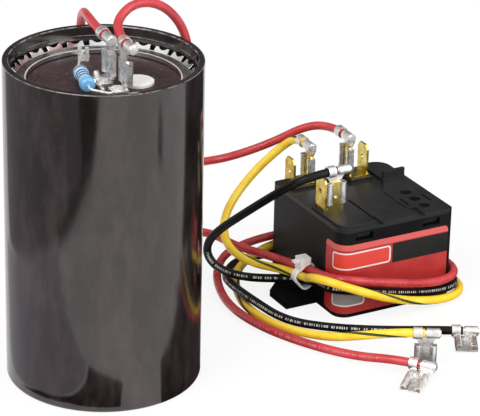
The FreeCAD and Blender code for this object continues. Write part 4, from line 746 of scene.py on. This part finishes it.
def startMarks(name, kinds):
    # A tree with the inputs that every mark needs and its own, and the stretch of the line that is marked.
    tree = bpy.data.node_groups.new(name, "GeometryNodeTree")
    shared = {"Geometry": "Geometry", "Path": "Object", "Start": "Float", "End": "Float", "Radius": "Float",
              "Turn": "Float", "Paint": "Material"}
    for socket, kind in {**shared, **kinds}.items():
        tree.interface.new_socket(socket, in_out="INPUT", socket_type="NodeSocket" + kind)
    tree.interface.new_socket("Geometry", in_out="OUTPUT", socket_type="NodeSocketGeometry")
    given = addNode(tree, "NodeGroupInput")
    path = addNode(tree, "GeometryNodeObjectInfo", {"Object": given["Path"]})
    stretch = addNode(tree, "GeometryNodeTrimCurve", {
        "Curve": path["Geometry"], "Start": given["Start"], "End": given["End"]}, mode="FACTOR")
    return tree, given, stretch["Curve"]


def endMarks(tree, made, paint):
    real = addNode(tree, "GeometryNodeRealizeInstances", {"Geometry": made})
    painted = addNode(tree, "GeometryNodeSetMaterial", {"Geometry": real["Geometry"], "Material": paint})
    addNode(tree, "NodeGroupOutput", {"Geometry": painted["Geometry"]})
    return tree


def inkTree():
    tree, given, stretch = startMarks("inkAlongLead", {"Pitch": "Float", "Seed": "Int"})
    spots = addNode(tree, "GeometryNodeCurveToPoints", {"Curve": stretch, "Length": given["Pitch"]}, mode="LENGTH")
    arc = addNode(tree, "GeometryNodeCurveArc", {
        "Resolution": markLook["arcSteps"], "Radius": given["Radius"], "Start Angle": given["Turn"],
        "Sweep Angle": math.radians(inkLook["sweep"])}, mode="RADIUS")
    line = addNode(tree, "GeometryNodeCurvePrimitiveLine", {"End": (0, 0, 1)})
    stroke = addNode(tree, "GeometryNodeCurveToMesh", {"Curve": line["Curve"], "Profile Curve": arc["Curve"]})
    some = addNode(tree, "FunctionNodeRandomValue", {
        "Probability": inkLook["share"], "Seed": given["Seed"]}, data_type="BOOLEAN")
    size = addNode(tree, "FunctionNodeRandomValue", {
        "Min": (1, 1, inkLook["shortest"]), "Max": (1, 1, inkLook["longest"]), "Seed": given["Seed"]},
        data_type="FLOAT_VECTOR")
    strokes = addNode(tree, "GeometryNodeInstanceOnPoints", {
        "Points": spots["Points"], "Selection": some["Value"], "Instance": stroke["Mesh"],
        "Rotation": spots["Rotation"], "Scale": size["Value"]})
    return endMarks(tree, strokes["Instances"], given["Paint"])


def stripeTree():
    tree, given, stretch = startMarks("stripeAlongLead", {"Sweep": "Float", "Winding": "Float"})
    along = addNode(tree, "GeometryNodeSplineParameter")["Factor"]
    angle = addNode(tree, "ShaderNodeMath", {0: along, 1: given["Winding"], 2: given["Turn"]},
                    operation="MULTIPLY_ADD")
    tilted = addNode(tree, "GeometryNodeSetCurveTilt", {"Curve": stretch, "Tilt": angle[0]})
    arc = addNode(tree, "GeometryNodeCurveArc", {
        "Resolution": markLook["arcSteps"], "Radius": given["Radius"],
        "Sweep Angle": given["Sweep"]}, mode="RADIUS")
    stripe = addNode(tree, "GeometryNodeCurveToMesh", {"Curve": tilted["Curve"], "Profile Curve": arc["Curve"]})
    return endMarks(tree, stripe["Mesh"], given["Paint"])


def socketNamed(modifier, name):
    for item in modifier.node_group.interface.items_tree:
        if item.item_type == "SOCKET" and item.in_out == "INPUT" and item.name == name:
            return item.identifier


def markLead(leadName, tree, finish, look, **own):
    # Runs a tree along a lead's line and keeps what it makes as a plain mesh, facing outwards.
    path = addPath(leadName + "Line", leadPoints[leadName])
    path.data.twist_mode = "Z_UP"
    marks = addMesh(leadName + "Marks", [(0, 0, 0)], [])
    modifier = marks.modifiers.new("marks", "NODES")
    modifier.node_group = tree
    shared = {"Path": path, "Start": look["start"], "End": look["end"], "Turn": math.radians(look["turn"]),
              "Radius": leadLook["thickness"] / 2 + markLook["lift"], "Paint": finish}
    for name, value in {**shared, **own}.items():
        modifier[socketNamed(modifier, name)] = value
    made = plainMesh(marks)
    marks.modifiers.clear()
    marks.data = made
    first = made.polygons[0]
    nearest = min(pathSpots(path), key=lambda spot: (spot - first.center).length)
    if first.normal.dot(first.center - nearest) < 0:
        made.flip_normals()
    bpy.data.objects.remove(path)
    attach(marks, "kit")
    return marks


inkNodes = inkTree()
for leadName, look in inkLooks.items():
    ink = plainFinish(leadName + "Ink", {**inkLook, **look}).finish
    markLead(leadName, inkNodes, ink, look, Pitch=look["pitch"], Seed=look["seed"])
stripeNodes = stripeTree()
for leadName, look in stripeLooks.items():
    green = plainFinish(leadName + "Stripe", look).finish
    markLead(leadName, stripeNodes, green, look, Sweep=math.radians(look["sweep"]),
                                   Winding=math.radians(360 * look["turns"]))

for leadName, (node, slot, ending, onIt) in leadFacts.items():
    lead = leads[leadName]
    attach(lead, "kit")
    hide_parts(node)

# Studio: a white sheet, a soft key from the left front, a weaker fill and an even sky.
studio = {
    "floorHalf": 3.0,
    "floorTone": (0.86, 0.86, 0.86),
    "floorGlow": 0.86,  # share of the sheet's own white that the camera sees
    "sky": 0.78,
    "backSky": 0.12,  # what the tops mirror, low behind the object
    "backRange": (0.2, 0.8),  # how far back it starts to fall off, and where it is reached
    "aim": (0.04, 0.03, 0.04),
    "key": {"place": (-0.55, -0.75, 0.95), "size": 0.7, "watts": 11.0},
    "fill": {"place": (0.75, -0.45, 0.70), "size": 0.6, "watts": 4.5},
}


def seenDirectly(tree):
    # One where the camera, a reflection or a clear piece looks at it.
    rays = addNode(tree, "ShaderNodeLightPath")
    share = rays["Is Camera Ray"]
    for name in ("Is Glossy Ray", "Is Transmission Ray"):
        share = addNode(tree, "ShaderNodeMath", {0: share, 1: rays[name]}, operation="MAXIMUM")[0]
    return share


def addFloor():
    half = studio["floorHalf"]
    floor = addMesh("studioFloor", [(-half, -half, 0), (half, -half, 0), (half, half, 0), (-half, half, 0)],
                    [(0, 1, 2, 3)])
    sheet = bpy.data.materials.new("studioSheet")
    tree = emptyTree(sheet)
    matt = addNode(tree, "ShaderNodeBsdfDiffuse", {"Color": (*studio["floorTone"], 1)})
    glow = addNode(tree, "ShaderNodeEmission", {"Strength": 1.0})
    share = addNode(tree, "ShaderNodeMath", {0: seenDirectly(tree), 1: studio["floorGlow"]}, operation="MULTIPLY")
    mix = addNode(tree, "ShaderNodeMixShader", {0: share[0], 1: matt[0], 2: glow[0]})
    addNode(tree, "ShaderNodeOutputMaterial", {"Surface": mix[0]})
    floor.data.materials.append(sheet)


def addLamp(name, look):
    lamp = bpy.data.lights.new(name, "AREA")
    lamp.shape = "SQUARE"
    lamp.size = look["size"]
    lamp.energy = look["watts"]
    place = Vector(look["place"])
    aim = Vector(studio["aim"]) - place
    turn = aim.to_track_quat("-Z", "Y").to_matrix().to_4x4()
    addObject(name, lamp).matrix_world = Matrix.Translation(place) @ turn


def addSky():
    scene.world = bpy.data.worlds.new("studioSky")
    tree = emptyTree(scene.world)
    rays = addNode(tree, "ShaderNodeLightPath")
    way = addNode(tree, "ShaderNodeSeparateXYZ", {0: addNode(tree, "ShaderNodeTexCoord")["Generated"]})
    start, end = studio["backRange"]
    behind = addNode(tree, "ShaderNodeMapRange", {
        "Value": way["Y"], "From Min": start, "From Max": end, "To Min": 1.0, "To Max": studio["backSky"]})[0]
    strength = studio["sky"]
    for name, bright in (("Is Glossy Ray", behind), ("Is Transmission Ray", 1.0), ("Is Camera Ray", 1.0)):
        strength = addNode(tree, "ShaderNodeMix", {"Factor": rays[name], 2: strength, 3: bright})[0]
    back = addNode(tree, "ShaderNodeBackground", {"Strength": strength, "Color": (1, 1, 1, 1)})
    addNode(tree, "ShaderNodeOutputWorld", {"Surface": back[0]})


# Cards on the sheet that only reflections see: they give the case its dark and pale fields.
cards = {
    "paleCard": {"tone": (0.33, 0.31, 0.32), "high": 0.3, "outline": [
        (-0.22, 0.25), (-0.4, 0.2), (-0.45, -0.2), (-0.32, -0.4), (-0.122, -0.296), (-0.106, -0.271),
        (-0.086, -0.249), (-0.074, -0.226), (-0.079, -0.204), (-0.1, -0.175), (-0.119, -0.145), (-0.124, -0.124),
        (-0.114, -0.11), (-0.132, -0.057), (-0.127, 0.017), (-0.109, 0.068), (-0.133, 0.11), (-0.163, 0.151)]},
    "lowCard": {"tone": (0.63, 0.6, 0.66), "high": 0.2, "outline": [
        (-0.095, 0.085), (-0.128, 0.016), (-0.129, -0.056), (-0.107, -0.109), (-0.088, -0.098), (-0.067, -0.09),
        (-0.046, -0.082), (-0.028, -0.075), (-0.014, -0.065), (-0.012, -0.055), (-0.015, -0.043), (-0.02, -0.034),
        (-0.027, -0.027), (-0.034, -0.017), (-0.041, -0.003), (-0.054, 0.018), (-0.07, 0.041)]},
    "wedgeCard": {"tone": (0.05, 0.04, 0.04), "high": 0.4, "outline": [
        (-0.13, -0.3), (-0.09, -0.42), (0.0, -0.45), (-0.001, -0.323), (-0.016, -0.286), (-0.019, -0.254),
        (-0.034, -0.229), (-0.057, -0.201), (-0.077, -0.172), (-0.092, -0.144), (-0.106, -0.112), (-0.119, -0.114),
        (-0.126, -0.125), (-0.118, -0.149), (-0.1, -0.175), (-0.082, -0.2), (-0.074, -0.226), (-0.091, -0.248),
        (-0.116, -0.267)]},
    "sideCard": {"tone": (0.03, 0.025, 0.025), "high": 0.2, "outline": [
        (0.45, 0.1), (0.4, 0.35), (0.2, 0.4), (0.12, 0.251), (0.104, 0.213), (0.062, 0.139), (0.034, 0.007),
        (0.029, -0.013), (0.026, -0.017), (0.023, -0.021), (0.02, -0.025), (0.034, -0.029), (0.051, -0.034),
        (0.063, -0.028), (0.075, -0.021), (0.094, -0.01), (0.121, 0.003), (0.153, 0.021), (0.187, 0.037),
        (0.234, 0.056), (0.297, 0.076)]},
    "streakCard": {"tone": (0.12, 0.11, 0.11), "high": 0.4, "outline": [
        (0.266, -0.123), (0.273, -0.104), (0.249, -0.089), (0.227, -0.082), (0.211, -0.093), (0.22, -0.108),
        (0.243, -0.115)]},
    # A dark card close round the can's foot: painted shade, standing in for the shadow at the base as the case
    # mirrors it.
    "footCard": {"tone": (0.04, 0.035, 0.035), "high": 0.3, "outline": [
        (-0.011, -0.064), (-0.003, -0.062), (0.006, -0.058), (0.016, -0.052), (0.017, -0.049), (0.012, -0.041),
        (0.009, -0.035), (0.002, -0.036), (-0.003, -0.036), (-0.012, -0.035), (-0.019, -0.031), (-0.025, -0.026),
        (-0.031, -0.019), (-0.027, -0.028), (-0.02, -0.034), (-0.014, -0.04), (-0.011, -0.048), (-0.01, -0.056)]},
}


def addCard(name, look):
    outline = [(x, y, look["high"] * mm) for x, y in look["outline"]]
    card = addMesh(name, outline, [range(len(outline))])
    paper = bpy.data.materials.new(name)
    tree = emptyTree(paper)
    glow = addNode(tree, "ShaderNodeEmission", {"Color": (*look["tone"], 1)})
    addNode(tree, "ShaderNodeOutputMaterial", {"Surface": glow[0]})
    card.data.materials.append(paper)
    for kind in ("camera", "diffuse", "transmission", "volume_scatter", "shadow"):
        setattr(card, "visible_" + kind, False)


for cardName, cardLook in cards.items():
    addCard(cardName, cardLook)
addFloor()
addSky()
addLamp("keyLamp", studio["key"])
addLamp("fillLamp", studio["fill"])
scene.view_settings.view_transform = "Standard"
print("studio lit")
